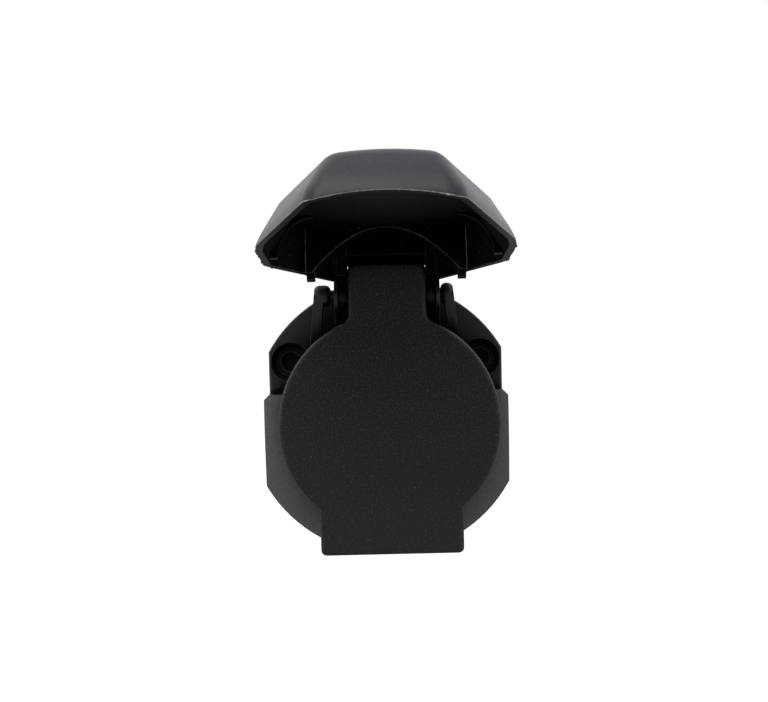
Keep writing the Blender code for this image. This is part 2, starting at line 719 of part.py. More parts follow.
def make_hood(surface):
    hood = round_edges(hood_form(0.0, 0.0, 0.0), HOOD_CORNER, 3, 30.0)
    cut(hood, lay_hood(block((-HOOD_HALF_WIDTH, HOOD_HALF_WIDTH), (-HOOD_LENGTH - OVERCUT, OVERCUT * 3),
                             (RIM_OFFSET - OVERCUT, RIM_OFFSET + OVERCUT / 2))))
    inside = round_edges(hood_form(HOOD_WALL, -OVERCUT, HOOD_WALL), HOOD_CORNER - HOOD_WALL / 2, 2, 30.0)
    cut(hood, inside)
    join(hood, keep(hood_bridge(), hood_form(HOOD_WALL / 2, 0.0, HOOD_WALL / 2)))
    cut(hood, arch_opening(), rear_gap())
    join(hood, hood_hook(), *hood_arm())
    cut(hood, pin_hole(ARM_OUTER))
    return finish(mirror_half(hood), "hood", surface, 35.0)


def carrier_disc(start, end, radius, hole_radius):
    disc = rod_along("Y", start, end, radius)
    for x, z in contact_places():
        cut(disc, rod_along("Y", start - OVERCUT, end + OVERCUT, hole_radius, (x, z), CONTACT_ROUND))
    return disc


def make_contact_carrier(surface):
    body = rod_along("Y", CARRIER_FRONT, CARRIER_STEP + OVERCUT, BORE_RADIUS - CLEARANCE)
    join(body, rod_along("Y", CARRIER_STEP, CARRIER_REAR, REAR_BORE_RADIUS - CLEARANCE))
    for x, z in contact_places():
        cut(body, rod_along("Y", CARRIER_FRONT - OVERCUT, CARRIER_REAR + OVERCUT,
                            SLEEVE_RADIUS + CLEARANCE, (x, z), CONTACT_ROUND))
    return finish(body, "contact_carrier", surface)


def make_contact_lock_plate(surface):
    start = CARRIER_REAR + CLEARANCE
    plate_body = carrier_disc(start, start + LOCK_THICKNESS, REAR_BORE_RADIUS - CLEARANCE,
                              SHANK_RADIUS + CLEARANCE)
    return finish(plate_body, "contact_lock_plate", surface)


def contact_profile():
    """Outer side from the mouth to the shank's end, and back up the bore."""
    end = CARRIER_REAR - CARRIER_FRONT - CONTACT_SETBACK
    return [
        (0.0, end + SHANK_LENGTH), (SHANK_RADIUS, end + SHANK_LENGTH), (SHANK_RADIUS, end),
        (SLEEVE_RADIUS, end), (SLEEVE_RADIUS, 0.0), (SLEEVE_BORE, 0.0),
        (SLEEVE_BORE, SLEEVE_BORE_DEPTH), (0.0, SLEEVE_BORE_DEPTH)]


def make_contacts(surface):
    for number, (x, z) in enumerate(contact_places(), 1):
        place = Matrix.Translation((x, 0, z)) @ socket_axis(CARRIER_FRONT + CONTACT_SETBACK)
        sleeve = turned("sleeve", contact_profile(), place, CONTACT_ROUND)
        finish(sleeve, f"contact_{number}", surface)


def make_mounting_gasket(surface):
    gasket = plate(clipped_circle(FLANGE_RADIUS - GASKET_INSET, FLANGE_HALF_WIDTH - GASKET_INSET),
                   CLEARANCE, CLEARANCE + GASKET_THICKNESS)
    cut(gasket, rod_along("Y", -OVERCUT, GASKET_THICKNESS + 2 * OVERCUT, GASKET_HOLE_RADIUS))
    for x, z in screw_places():
        cut(gasket, rod_along("Y", -OVERCUT, GASKET_THICKNESS + 2 * OVERCUT,
                              SCREW_HOLE_RADIUS + CLEARANCE, (x, z), SMALL_ROUND))
    return finish(gasket, "mounting_gasket", surface)


def make_rear_boot(surface):
    """Rubber cap over the spigot, narrowing to the gland where the cable goes in."""
    inner = SPIGOT_RADIUS + CLEARANCE
    outer = inner + BOOT_WALL
    end = BOOT_LENGTH
    profile = [
        (GLAND_BORE_RADIUS, end), (GLAND_RADIUS, end), (GLAND_RADIUS, BOOT_SHOULDER + 5 * MM),
        (GLAND_RADIUS + 3 * MM, BOOT_SHOULDER + 2 * MM), (outer - 2 * MM, BOOT_SHOULDER),
        (outer, BOOT_SHOULDER - 2 * MM), (outer, 0.0), (inner, 0.0),
        (inner, SPIGOT_LENGTH), (inner - BOOT_WALL, BOOT_SHOULDER - BOOT_WALL),
        (GLAND_RADIUS, BOOT_SHOULDER), (GLAND_BORE_RADIUS, BOOT_SHOULDER + 4 * MM)]
    boot = turned("boot", profile, socket_axis(CLEARANCE), ROUND, ring=True)
    return finish(boot, "rear_boot", surface)


def build():
    shell = material("moulded_plastic", PLASTIC, 0.5)
    inner = material("insert_plastic", (0.05, 0.05, 0.055), 0.55)
    rubber = material("rubber", (0.018, 0.018, 0.018), 0.8)
    brass = material("brass", (0.62, 0.45, 0.2), 0.3, 1.0)
    steel = material("steel", (0.45, 0.45, 0.46), 0.35, 1.0)
    make_housing(shell)
    make_lid(shell)
    make_lid_seal(rubber)
    make_hinge_pin(steel)
    make_lid_spring(steel)
    make_hood(shell)
    make_contact_carrier(inner)
    make_contact_lock_plate(inner)
    make_contacts(brass)
    make_mounting_gasket(rubber)
    make_rear_boot(rubber)


build()
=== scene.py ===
"""Looks of the towbar socket: its mouldings in full form, their flash, finishes, camera and light.

Metres, in the part's own frame: +Z up, -Y out of the socket, towards the camera.
"""
import json
import math
import re

import bmesh
import bpy
from mathutils import Matrix, Vector, noise as field

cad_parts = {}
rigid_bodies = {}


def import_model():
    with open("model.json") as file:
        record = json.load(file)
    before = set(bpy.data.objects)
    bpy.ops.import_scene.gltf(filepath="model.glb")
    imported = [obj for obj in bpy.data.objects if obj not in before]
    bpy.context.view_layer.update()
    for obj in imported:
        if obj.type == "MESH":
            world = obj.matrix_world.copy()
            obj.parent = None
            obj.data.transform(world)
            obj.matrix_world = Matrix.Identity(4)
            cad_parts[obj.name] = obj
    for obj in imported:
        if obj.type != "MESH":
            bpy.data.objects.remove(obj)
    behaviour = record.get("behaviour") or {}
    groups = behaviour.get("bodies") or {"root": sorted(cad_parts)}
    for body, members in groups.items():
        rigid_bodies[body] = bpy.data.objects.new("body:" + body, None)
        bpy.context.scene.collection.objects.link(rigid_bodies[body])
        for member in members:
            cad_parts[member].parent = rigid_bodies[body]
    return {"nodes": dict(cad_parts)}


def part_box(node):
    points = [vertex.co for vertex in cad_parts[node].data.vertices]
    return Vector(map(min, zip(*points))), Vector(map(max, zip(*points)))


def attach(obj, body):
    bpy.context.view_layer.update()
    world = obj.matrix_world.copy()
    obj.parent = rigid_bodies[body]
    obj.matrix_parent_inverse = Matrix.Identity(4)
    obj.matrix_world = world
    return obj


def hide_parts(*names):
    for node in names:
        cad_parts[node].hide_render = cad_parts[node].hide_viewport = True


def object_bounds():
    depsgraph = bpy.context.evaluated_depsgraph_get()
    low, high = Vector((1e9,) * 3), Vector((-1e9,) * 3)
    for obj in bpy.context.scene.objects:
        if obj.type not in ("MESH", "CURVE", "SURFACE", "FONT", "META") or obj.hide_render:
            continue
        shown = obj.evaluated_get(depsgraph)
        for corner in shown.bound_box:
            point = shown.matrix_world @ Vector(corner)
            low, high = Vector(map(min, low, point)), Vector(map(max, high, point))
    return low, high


MM = 0.001

# The photograph
PHOTO_WIDTH = 768
PHOTO_HEIGHT = 702
FOCAL_PIXELS = 1440.0
LEVEL_PIXEL = (383.6, 278.0)    # where the line from the camera square to the lid meets the picture
ROLL = math.radians(1.35)
CAMERA_TO_LID = 400.0 * MM
CAMERA_X = 0.1 * MM
CAMERA_Z = 40.9 * MM
SENSOR = 36.0

# Stage
FLOOR_DROP = 45.0 * MM          # floor, below the object's lowest point
STAGE_SIZE = 6.0
STAGE_GREY = 0.30               # what the floor gives back as light
STAGE_GLOW = 0.85               # added to what the camera sees of it

# Light
FRONT_LIGHT = 0.22              # strength of the surroundings on the camera's side
SIDE_LIGHT = 1.0
LOW_LIGHT = 0.25                # share of it that is left below
LAMP_SIZE = 0.5
LAMPS = (                       # name, place and power
    ("lamp_top", (-0.15, -0.55, 0.75), 1.6),
    ("lamp_left", (-0.80, -0.30, -0.30), 5.0),
    ("lamp_right", (0.80, -0.30, -0.30), 5.0))

# Finishes
RECESS_REACH = 30.0 * MM        # how far off a face still shades a spot
# painted shade on reflections: in the deepest recesses the specular level falls to this
RECESS_GLOSS = 0.02             # reflection that is left in the deepest recesses
CLOUD_SIZE = 22.0 * MM
DUST_SIZE = 0.7 * MM
WEAR_PATCH = 2.5 * MM
SHARP_ANGLE = 32.0              # above it an edge between faces of a CAD node stays sharp

# Flash on the hood's edges
FLASH_STEP = 0.45 * MM          # spacing of its points along an edge
FLASH_LEAST = 0.02 * MM         # height that is left where it is thinnest
FLASH_FOOT = 0.12 * MM          # depth and half-width of its foot
WELD = 0.002 * MM               # points nearer than this are one

# Fit and facets
CLEARANCE = 0.3 * MM          # between pieces that seat on each other
RUNNING_GAP = 0.4 * MM        # beside pieces that turn on the pin
OVERCUT = 1.0 * MM            # how far a cutter runs past the face it opens
ROUND = 96                    # sides of a large circle
SMALL_ROUND = 40              # sides of a small circle
FLANGE_STEPS = 40             # sides of each round end of the flange

# Flange
FLANGE_MARGIN = 15.9 * MM     # from the collar out to the flange's edge
FLANGE_FLAT = 5.2 * MM        # how far each upright side cuts into the flange's circle
FLANGE_THICKNESS = 5.0 * MM
FLANGE_EDGE = 0.6 * MM        # rounding of the flange's edges
SKIRT_EXTRA = 1.5 * MM        # how much wider the lower half is
SKIRT_TOP = 7.2 * MM          # height of the step in the flange's sides
SKIRT_STEP = 1.5 * MM         # height of the chamfer at that step
SKIRT_RISE = 4.5 * MM
SKIRT_INNER_GAP = 7.1 * MM    # from the collar out to the skirt's slope
SKIRT_LIP = 1.2 * MM          # upright edge below the skirt's slope
SCREW_INSET = 7.3 * MM        # from the flange's edge in to the screws' circle
SCREW_ANGLE = math.radians(30.51)  # of the upper screws, up from level: 56 mm apart
SCREW_HOLE_RADIUS = 3.0 * MM
SCREW_SEAT_RADIUS = 4.3 * MM
SCREW_SINK_RADIUS = 5.9 * MM  # at the flange's front face
SCREW_SINK_DEPTH = 1.9 * MM

# Collar round the plug
BORE_RADIUS = 18.25 * MM
COLLAR_WALL = 5.65 * MM
KEY_GROOVE_WIDTH = 3.4 * MM
KEY_GROOVE_DEPTH = 1.3 * MM
KEY_ANGLES = (90.0, 215.0, 325.0)
SPIGOT_WALL = 3.55 * MM       # beside the plug's bore
SPIGOT_LENGTH = 12.0 * MM
REAR_BORE_STEP = 0.95 * MM    # how much wider the bore is behind the carrier's step
PLUG_DEPTH = 20.6 * MM
SEAL_SPACE = 1.3 * MM         # from the closed lid's rear face to the collar

# Hinge
HINGE_ABOVE_LID = 5.1 * MM    # from the lid's disc up to the pin
HINGE_Y = -26.0 * MM
PIN_RADIUS = 1.6 * MM
PIN_CLEARANCE = 0.1 * MM
PIN_STEPS = 16                # sides of the pin and of the holes it runs in
KNUCKLE_RADIUS = 3.0 * MM
KNUCKLE_OUTER = 19.6 * MM
LEFT_KNUCKLE_EXTRA = 1.1 * MM # how much further in the left knuckle reaches
KNUCKLE_ROUNDING = 1.5 * MM
WEB_THICKNESS = 2.7 * MM
WEB_SPLAY = 0.11              # how far the webs lean out for each length down
WEB_REAR_DROP = 13.5 * MM     # how far the web's top edge falls on its way to the flange
LEDGE_HALF_WIDTH = 7.0 * MM
LEDGE_REACH = 7.9 * MM        # from the pin back to the foot of the ledge's sloping front
LEDGE_SLOPE = 2.3 * MM        # run and height of that slope
LEDGE_DROP = 7.2 * MM         # from the pin down to the ledge's top
LEDGE_HEIGHT = 6.0 * MM

# Lid
LID_OVERHANG = 7.2 * MM       # of the lid's disc past the collar
LID_THICKNESS = 5.0 * MM
LID_STANDOFF = 6.0 * MM       # lid's front face, in front of the pin
LID_EDGE = 1.4 * MM
LID_PLAY = 0.9 * MM           # how far the lid has slid to the right along the pin
NECK_HALF_WIDTH = 10.9 * MM
NECK_ABOVE_PIN = 9.2 * MM
NECK_CORNER = 2.4 * MM
NECK_FILLET = 3.0 * MM
TAB_HALF_WIDTH = 20.1 * MM
TAB_LENGTH = 5.6 * MM         # of the thumb tab below the disc
TAB_CORNER = 1.5 * MM
LID_WALL = 2.2 * MM
LID_RECESS = 2.4 * MM
BARREL_RADIUS = 4.2 * MM
BARREL_INNER = 7.6 * MM
SEAL_WIDTH = 6.0 * MM
SEAL_OVERHANG = 0.7 * MM      # of the seal past the collar
PLUG_BOSS_HEIGHT = 0.9 * MM
PLUG_BOSS_GAP = 1.1 * MM      # from the boss out to the seal
LEG_GROOVE_WIDTH = 2.0 * MM   # slot in the lid's neck for the spring's leg

# Spring
WIRE_RADIUS = 0.55 * MM
COIL_RADIUS = 3.0 * MM
COIL_TURNS = 5
COIL_STEPS = 10               # points in each turn
COIL_HALF_LENGTH = 5.2 * MM
SPRING_LID_LEG = 7.0 * MM
SPRING_HOUSING_LEG = 7.0 * MM
SPRING_LEG_DROP = 5.9 * MM

# Hood
HOOD_TILT = math.radians(16.0)
HOOD_PLAY = 0.9 * MM          # how far the hood has slid to the right along the pin
RIM_OFFSET = 4.0 * MM         # rim plane, above the pin on the roof's side
RIM_LIP = 0.6 * MM            # height of the upright lip between rim and leaning walls
RIM_DROP = 2.0 * MM           # how far the rim's end corners fall below its plane
RIM_ARCH = 2.0 * MM           # rise of the end's rim between those corners
HOOD_REAR = 1.0 * MM          # rear wall, from the pin along the rim
HOOD_MARGIN = 4.0 * MM        # from the lid's tab to the hood's end, when it is swung down
HOOD_WALL = 1.8 * MM
REAR_HALF_WIDTH = 15.0 * MM
HOOD_SIDE_MARGIN = 3.1 * MM   # from the lid's disc to the hood's widest place
FLANK_INSET = 1.2 * MM        # the flank and the brow are narrower than the widest place
FLANK_AT = 0.222              # their places, as shares of the hood's length
WIDEST_AT = 0.405
BROW_INSET = 1.0 * MM
BROW_AT = 0.497
END_HALF_WIDTH = 18.5 * MM
REAR_DRAFT = 0.4 * MM         # how much each wall leans in between lip and roof
SHOULDER_DRAFT = 1.6 * MM
SIDE_DRAFT = 7.2 * MM
END_DRAFT = 5.3 * MM
ROOF_AT_HINGE = 15.0 * MM
ROOF_AT_END = 11.5 * MM
ROOF_CROWN = 1.1 * MM         # at the hood's end, and none at its rear
ROOF_COLUMNS = 8              # strips across the roof
HOOD_CORNER = 2.6 * MM
BRIDGE_FRONT = 12.0 * MM      # front face of the bridge over the pin
BRIDGE_HALF_WIDTH = 22.2 * MM
BRIDGE_DROP = 0.5 * MM        # how far the bridge's feet reach below the rim plane
BRIDGE_LEG = 1.9 * MM         # width of the bridge's legs beside the arch
ARCH_HEIGHT = 12.2 * MM
ARCH_ROUND = 20
REAR_WALL = 1.8 * MM
COVER_THICKNESS = 1.1 * MM    # curved cover behind the lid's neck
COVER_FROM = 97.0             # its ends, in degrees up from the hood's rear
COVER_TO = 64.0
HOOK_REACH = 2.4 * MM
HOOK_WIDTH = 2.3 * MM
HOOK_DEPTH = 2.7 * MM
POCKET_WEB_AT = 21.5 * MM     # webs across the hood's pockets, from the pin
POCKET_WEB_WALL = 1.2 * MM
WEB_ARC_CENTRE = 19.5 * MM    # the curved edge of those webs is part of an ellipse
WEB_ARC_STEPS = 24
WEB_ARC_WIDTH = 9.6 * MM
WEB_ARC_HEIGHT = 11.8 * MM
FIN_WIDTH = 4.0 * MM          # three-cornered fins on the bridge's sides
FIN_BOTTOM = 5.0 * MM
FIN_TIP = 8.3 * MM
FIN_TOP = 9.7 * MM
FIN_WALL = 1.0 * MM
ARM_THICKNESS = 3.8 * MM
ARM_GAP = 0.06 * MM           # beside the lid's neck
ARM_EDGE = 0.9 * MM           # raised outer edge of each arm
ARM_BOSS_RADIUS = 4.0 * MM
ARM_TAIL = 10.8 * MM
ARM_FRONT = 1.8 * MM
ARM_BACK = 1.6 * MM
ARM_NOTCH_TOP = 5.6 * MM
TAIL_FRONT = 0.6 * MM
ARM_RISE = 0.93               # share of the way to the roof that the arms' strips reach

# Carrier, gasket and boot, as far as the housing follows them
CARRIER_LENGTH = 12.0 * MM
CARRIER_SHOULDER = 4.0 * MM
LOCK_THICKNESS = 2.0 * MM
GASKET_THICKNESS = 1.5 * MM
GASKET_INSET = 0.6 * MM
GASKET_HOLE_GAP = 1.3 * MM    # round the boot
BOOT_WALL = 2.0 * MM

# Places worked out from the sizes above
COLLAR_RADIUS = BORE_RADIUS + COLLAR_WALL
SPIGOT_RADIUS = BORE_RADIUS + SPIGOT_WALL
REAR_BORE_RADIUS = BORE_RADIUS + REAR_BORE_STEP
FLANGE_RADIUS = COLLAR_RADIUS + FLANGE_MARGIN
SKIRT_INNER_RADIUS = COLLAR_RADIUS + SKIRT_INNER_GAP
FLANGE_HALF_WIDTH = FLANGE_RADIUS - FLANGE_FLAT
SCREW_CIRCLE = FLANGE_RADIUS - SCREW_INSET
LID_RADIUS = COLLAR_RADIUS + LID_OVERHANG
TAB_REACH = LID_RADIUS + TAB_LENGTH
HINGE_Z = LID_RADIUS + HINGE_ABOVE_LID
SEAL_OUTER_RADIUS = COLLAR_RADIUS + SEAL_OVERHANG
SEAL_INNER_RADIUS = SEAL_OUTER_RADIUS - SEAL_WIDTH
GASKET_HOLE_RADIUS = SPIGOT_RADIUS + CLEARANCE + BOOT_WALL + GASKET_HOLE_GAP
ARCH_HALF_WIDTH = BRIDGE_HALF_WIDTH - BRIDGE_LEG
HOOD_LENGTH = HINGE_Z + TAB_REACH + HOOD_MARGIN
HOOD_HALF_WIDTH = LID_RADIUS + HOOD_SIDE_MARGIN
FLANGE_FRONT = -FLANGE_THICKNESS
ARM_INNER = NECK_HALF_WIDTH + abs(LID_PLAY - HOOD_PLAY) + ARM_GAP
ARM_OUTER = ARM_INNER + ARM_THICKNESS
KNUCKLE_INNER = ARM_OUTER + HOOD_PLAY + CLEARANCE
NECK_SWEEP = math.hypot(NECK_ABOVE_PIN - LID_EDGE, LID_STANDOFF - LID_EDGE) + LID_EDGE + RUNNING_GAP
RIM_LOWEST = RIM_OFFSET - RIM_DROP - HOOD_CORNER - OVERCUT
LID_FRONT = HINGE_Y - LID_STANDOFF
LID_REAR = LID_FRONT + LID_THICKNESS
COLLAR_FRONT = LID_REAR + SEAL_SPACE
CARRIER_FRONT = COLLAR_FRONT + PLUG_DEPTH
CARRIER_STEP = CARRIER_FRONT + CARRIER_LENGTH - CARRIER_SHOULDER - LOCK_THICKNESS
PIN_BORE_RADIUS = PIN_RADIUS + PIN_CLEARANCE


def clear_scene():
    for old in list(bpy.data.objects):
        bpy.data.objects.remove(old, do_unlink=True)


clear_scene()
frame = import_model()
CAD_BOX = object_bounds()
NODES = frame["nodes"]
BODY_AND_SLOT = {
    "housing": ("housing", "housing_plastic"),
    "mounting_gasket": ("housing", "rubber"),
    "lid": ("lid", "lid_plastic"),
    "lid_spring": ("lid", "steel"),
    "hood": ("hood", "hood_plastic")}


def link(made):
    bpy.context.scene.collection.objects.link(made)
    return made


def object_from(name, shape):
    """An object made from a bmesh."""
    mesh = bpy.data.meshes.new(name)
    bmesh.ops.recalc_face_normals(shape, faces=shape.faces)
    shape.to_mesh(mesh)
    shape.free()
    return link(bpy.data.objects.new(name, mesh))


def remove_with_tools(made):
    for step in list(made.modifiers):
        if step.type == "BOOLEAN" and step.object:
            remove_with_tools(step.object)
    bpy.data.objects.remove(made)


def show(made, name, stands_for, material, angle=34.0):
    """Apply a piece's modifiers, drop its tools and put it in the place of a CAD node."""
    bpy.context.view_layer.update()
    depsgraph = bpy.context.evaluated_depsgraph_get()
    mesh = bpy.data.meshes.new_from_object(made.evaluated_get(depsgraph))
    mesh.transform(made.matrix_world)
    remove_with_tools(made)
    mesh.name = name
    mesh.materials.clear()
    mesh.materials.append(material)
    mesh.shade_smooth()
    mesh.set_sharp_from_angle(angle=math.radians(angle))
    piece = link(bpy.data.objects.new(name, mesh))
    body, slot = BODY_AND_SLOT[stands_for]
    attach(piece, body)
    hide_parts(stands_for)
    return piece


def combine(target, tool, operation):
    modifier = target.modifiers.new(operation.lower(), "BOOLEAN")
    modifier.operation = operation
    modifier.solver = "EXACT"
    modifier.object = tool
    return target


def join(target, *tools):
    for tool in tools:
        combine(target, tool, "UNION")
    return target


def cut(target, *tools):
    for tool in tools:
        combine(target, tool, "DIFFERENCE")
    return target


def keep(target, *tools):
    for tool in tools:
        combine(target, tool, "INTERSECT")
    return target


def mirror_half(target):
    """Replace the right half of a symmetric piece by the mirror image of its left half."""
    modifier = target.modifiers.new("mirror", "MIRROR")
    modifier.use_bisect_axis[0] = True
    modifier.use_bisect_flip_axis[0] = True
    modifier.use_clip = True
    modifier.merge_threshold = 0.00002
    return target


def round_edges(target, width, segments=3, angle=40.0):
    modifier = target.modifiers.new("rounding", "BEVEL")
    modifier.width = width
    modifier.segments = segments
    modifier.limit_method = "ANGLE"
    modifier.angle_limit = math.radians(angle)
    return target


def block(x_range, y_range, z_range):
    low = Vector((x_range[0], y_range[0], z_range[0]))
    high = Vector((x_range[1], y_range[1], z_range[1]))
    shape = bmesh.new()
    place = Matrix.Translation((low + high) / 2) @ Matrix.Diagonal((*(high - low), 1.0))
    bmesh.ops.create_cube(shape, size=1.0, matrix=place)
    return object_from("block", shape)


def cone_along(axis, start, end, radius, end_radius, centre, sides):
    """A round bar or cone along X or Y, from start to end, on a centre line through (across, z)."""
    shape = bmesh.new()
    across, height = centre
    middle = (start + end) / 2
    if axis == "X":
        place = Matrix.Translation((middle, across, height)) @ Matrix.Rotation(math.pi / 2, 4, "Y")
    else:
        place = Matrix.Translation((across, middle, height)) @ Matrix.Rotation(-math.pi / 2, 4, "X")
    bmesh.ops.create_cone(
        shape, cap_ends=True, segments=sides, radius1=radius, radius2=end_radius,
        depth=end - start, matrix=place)
    return object_from("round", shape)


def rod_along(axis, start, end, radius, centre=(0.0, 0.0), sides=ROUND):
    return cone_along(axis, start, end, radius, radius, centre, sides)


def mesh_from_curve(curve_object):
    """The curve's solid as a mesh, with its caps welded on."""
    depsgraph = bpy.context.evaluated_depsgraph_get()
    mesh = bpy.data.meshes.new_from_object(curve_object.evaluated_get(depsgraph))
    shape = bmesh.new()
    shape.from_mesh(mesh)
    bpy.data.meshes.remove(mesh)
    bmesh.ops.remove_doubles(shape, verts=shape.verts, dist=0.000001)
    shape.transform(curve_object.matrix_world)
    bpy.data.objects.remove(curve_object)
    return object_from("outline", shape)


def plate(points, start, end, edge=0.0):
    """A flat outline in (x, z), as thick as start to end along Y, with both edges rounded."""
    return mesh_from_curve(flat_curve(points, start, end, edge, "Y"))


def side_plate(points, start, end, edge=0.0):
    """A flat outline in (y, z), as thick as start to end along X."""
    return mesh_from_curve(flat_curve(points, start, end, edge, "X"))


def flat_curve(points, start, end, edge, axis):
    data = bpy.data.curves.new("outline", "CURVE")
    data.dimensions = "2D"
    data.fill_mode = "BOTH"
    data.extrude = (end - start) / 2 - edge
    data.bevel_depth = edge
    data.bevel_resolution = 3
    data.offset = -edge
    spline = data.splines.new("POLY")
    spline.points.add(len(points) - 1)
    for point, (a, b) in zip(spline.points, points):
        point.co = (a, b, 0.0, 1.0)
    spline.use_cyclic_u = True
    made = link(bpy.data.objects.new("outline", data))
    middle = (start + end) / 2
    if axis == "Y":
        made.matrix_world = Matrix.Translation((0, middle, 0)) @ Matrix.Rotation(math.pi / 2, 4, "X")
    else:
        turn = Matrix.Rotation(math.pi / 2, 4, "Z") @ Matrix.Rotation(math.pi / 2, 4, "X")
        made.matrix_world = Matrix.Translation((middle, 0, 0)) @ turn
    bpy.context.view_layer.update()
    return made


def arc(centre, radius, start, end, steps):
    """Points on a circle from one angle to another, in degrees."""
    points = []
    for i in range(steps + 1):
        angle = math.radians(start + (end - start) * i / steps)
        points.append((centre[0] + radius * math.cos(angle), centre[1] + radius * math.sin(angle)))
    return points


def mirrored(right_half):
    """The whole outline, from its right half listed from top to bottom."""
    return right_half + [(-x, z) for x, z in reversed(right_half)]


def clipped_circle(radius, half_width):
    """A circle with two upright flats."""
    corner = math.degrees(math.acos(half_width / radius))
    top = arc((0, 0), radius, 180.0 - corner, corner, FLANGE_STEPS)
    bottom = arc((0, 0), radius, -corner, corner - 180.0, FLANGE_STEPS)
    return top + bottom


def slide_along_pin(made, play):
    """Move a piece and its tools to where its play on the pin is taken up to the right."""
    made.location.x = play
    for step in made.modifiers:
        if step.type == "BOOLEAN":
            slide_along_pin(step.object, play)
    return made


def screw_places():
    """The three screws: two beside the hinge and one at the bottom, on one circle."""
    half = SCREW_CIRCLE * math.cos(SCREW_ANGLE)
    height = SCREW_CIRCLE * math.sin(SCREW_ANGLE)
    return [(-half, height), (half, height), (0.0, -SCREW_CIRCLE)]


def skirt():
    """The wider lower half of the flange, with its front sloping up to the collar."""
    half_width = FLANGE_HALF_WIDTH + SKIRT_EXTRA
    rise = FLANGE_FRONT - SKIRT_LIP
    slope = cone_along("Y", rise - SKIRT_RISE, rise, SKIRT_INNER_RADIUS, FLANGE_RADIUS + SKIRT_EXTRA,
                       (0, 0), ROUND)
    lip = rod_along("Y", rise - SKIRT_LIP / 4, -CLEARANCE, FLANGE_RADIUS)
    below = -FLANGE_RADIUS - SKIRT_EXTRA - OVERCUT
    lower = [
        (half_width - SKIRT_STEP, SKIRT_TOP), (half_width, SKIRT_TOP - SKIRT_STEP), (half_width, below)]
    return keep(join(lip, slope), plate(mirrored(lower), -FLANGE_RADIUS, OVERCUT))


def hinge_lug(side):
    """One hinge knuckle on its web, which slopes back to the flange and down to the collar."""
    inner, outer = KNUCKLE_INNER, KNUCKLE_OUTER
    if side < 0:
        inner -= LEFT_KNUCKLE_EXTRA
    back = -HINGE_Y + FLANGE_FRONT
    r = KNUCKLE_RADIUS
    web = [
        (HINGE_Y - r * 0.98, HINGE_Z - r * 0.1), (HINGE_Y - r * 0.5, HINGE_Z + r * 0.7),
        (HINGE_Y + r * 0.8, HINGE_Z - r * 0.45),
        (HINGE_Y + back + OVERCUT, HINGE_Z - WEB_REAR_DROP),
        (HINGE_Y + back + OVERCUT, 0.0),
        (HINGE_Y + r, COLLAR_RADIUS * 0.6)]
    low, high = sorted((side * (outer - WEB_THICKNESS), side * outer))
    lug = side_plate(web, low, high)
    lean = Matrix.Shear("XY", 4, (-side * WEB_SPLAY, 0.0))
    raise_pin = Matrix.Translation((0, 0, HINGE_Z))
    lug.data.transform(raise_pin @ lean @ raise_pin.inverted())
    low, high = sorted((side * inner, side * outer))
    knuckle = rod_along("X", low, high, r, (HINGE_Y, HINGE_Z), sides=SMALL_ROUND)
    return join(lug, round_edges(knuckle, KNUCKLE_ROUNDING, 3))


def spring_ledge():
    """The block on the flange that the spring's housing leg bears on."""
    top = HINGE_Z - LEDGE_DROP
    front = HINGE_Y + LEDGE_REACH
    back = FLANGE_FRONT + OVERCUT
    outline = [
        (front + LEDGE_SLOPE, top), (front, top - LEDGE_SLOPE), (front, top - LEDGE_HEIGHT),
        (back, top - LEDGE_HEIGHT), (back, top)]
    return side_plate(outline, -LEDGE_HALF_WIDTH, LEDGE_HALF_WIDTH)


def make_housing():
    body = plate(clipped_circle(FLANGE_RADIUS, FLANGE_HALF_WIDTH), FLANGE_FRONT, 0.0, FLANGE_EDGE)
    collar = rod_along("Y", COLLAR_FRONT, -OVERCUT, COLLAR_RADIUS)
    spigot = rod_along("Y", -2 * OVERCUT, SPIGOT_LENGTH, SPIGOT_RADIUS)
    join(body, skirt(), collar, spigot)
    for side in (-1, 1):
        join(body, hinge_lug(side))
    join(body, spring_ledge())
    cut(body, rod_along("Y", COLLAR_FRONT - OVERCUT, SPIGOT_LENGTH + OVERCUT, BORE_RADIUS))
    cut(body, rod_along("Y", CARRIER_STEP - CLEARANCE, SPIGOT_LENGTH + OVERCUT, REAR_BORE_RADIUS))
    for angle in KEY_ANGLES:
        cut(body, key_groove(angle))
    for x, z in screw_places():
        cut(body, screw_hole(x, z))
    cut(body, pin_hole(KNUCKLE_OUTER))
    return body


def pin_hole(half_width):
    """The pin's running hole, right through a piece of this half-width."""
    return rod_along("X", -half_width - OVERCUT, half_width + OVERCUT, PIN_BORE_RADIUS,
                     (HINGE_Y, HINGE_Z), PIN_STEPS)


def key_groove(angle):
    """A guide groove along the bore for one of the plug's keys."""
    half = KEY_GROOVE_WIDTH / 2
    groove = block((BORE_RADIUS - OVERCUT, BORE_RADIUS + KEY_GROOVE_DEPTH),
                   (COLLAR_FRONT - OVERCUT, CARRIER_FRONT + OVERCUT), (-half, half))
    groove.data.transform(Matrix.Rotation(math.radians(-angle), 4, "Y"))
    return groove


def screw_hole(x, z):
    hole = rod_along("Y", -FLANGE_RADIUS, OVERCUT, SCREW_HOLE_RADIUS, (x, z), SMALL_ROUND)
    floor = FLANGE_FRONT + SCREW_SINK_DEPTH
    slope = (SCREW_SINK_RADIUS - SCREW_SEAT_RADIUS) / SCREW_SINK_DEPTH
    reach = SCREW_SINK_DEPTH + OVERCUT
    sink = cone_along("Y", floor - reach, floor, SCREW_SEAT_RADIUS + slope * reach,
                      SCREW_SEAT_RADIUS, (x, z), SMALL_ROUND)
    return join(hole, sink)


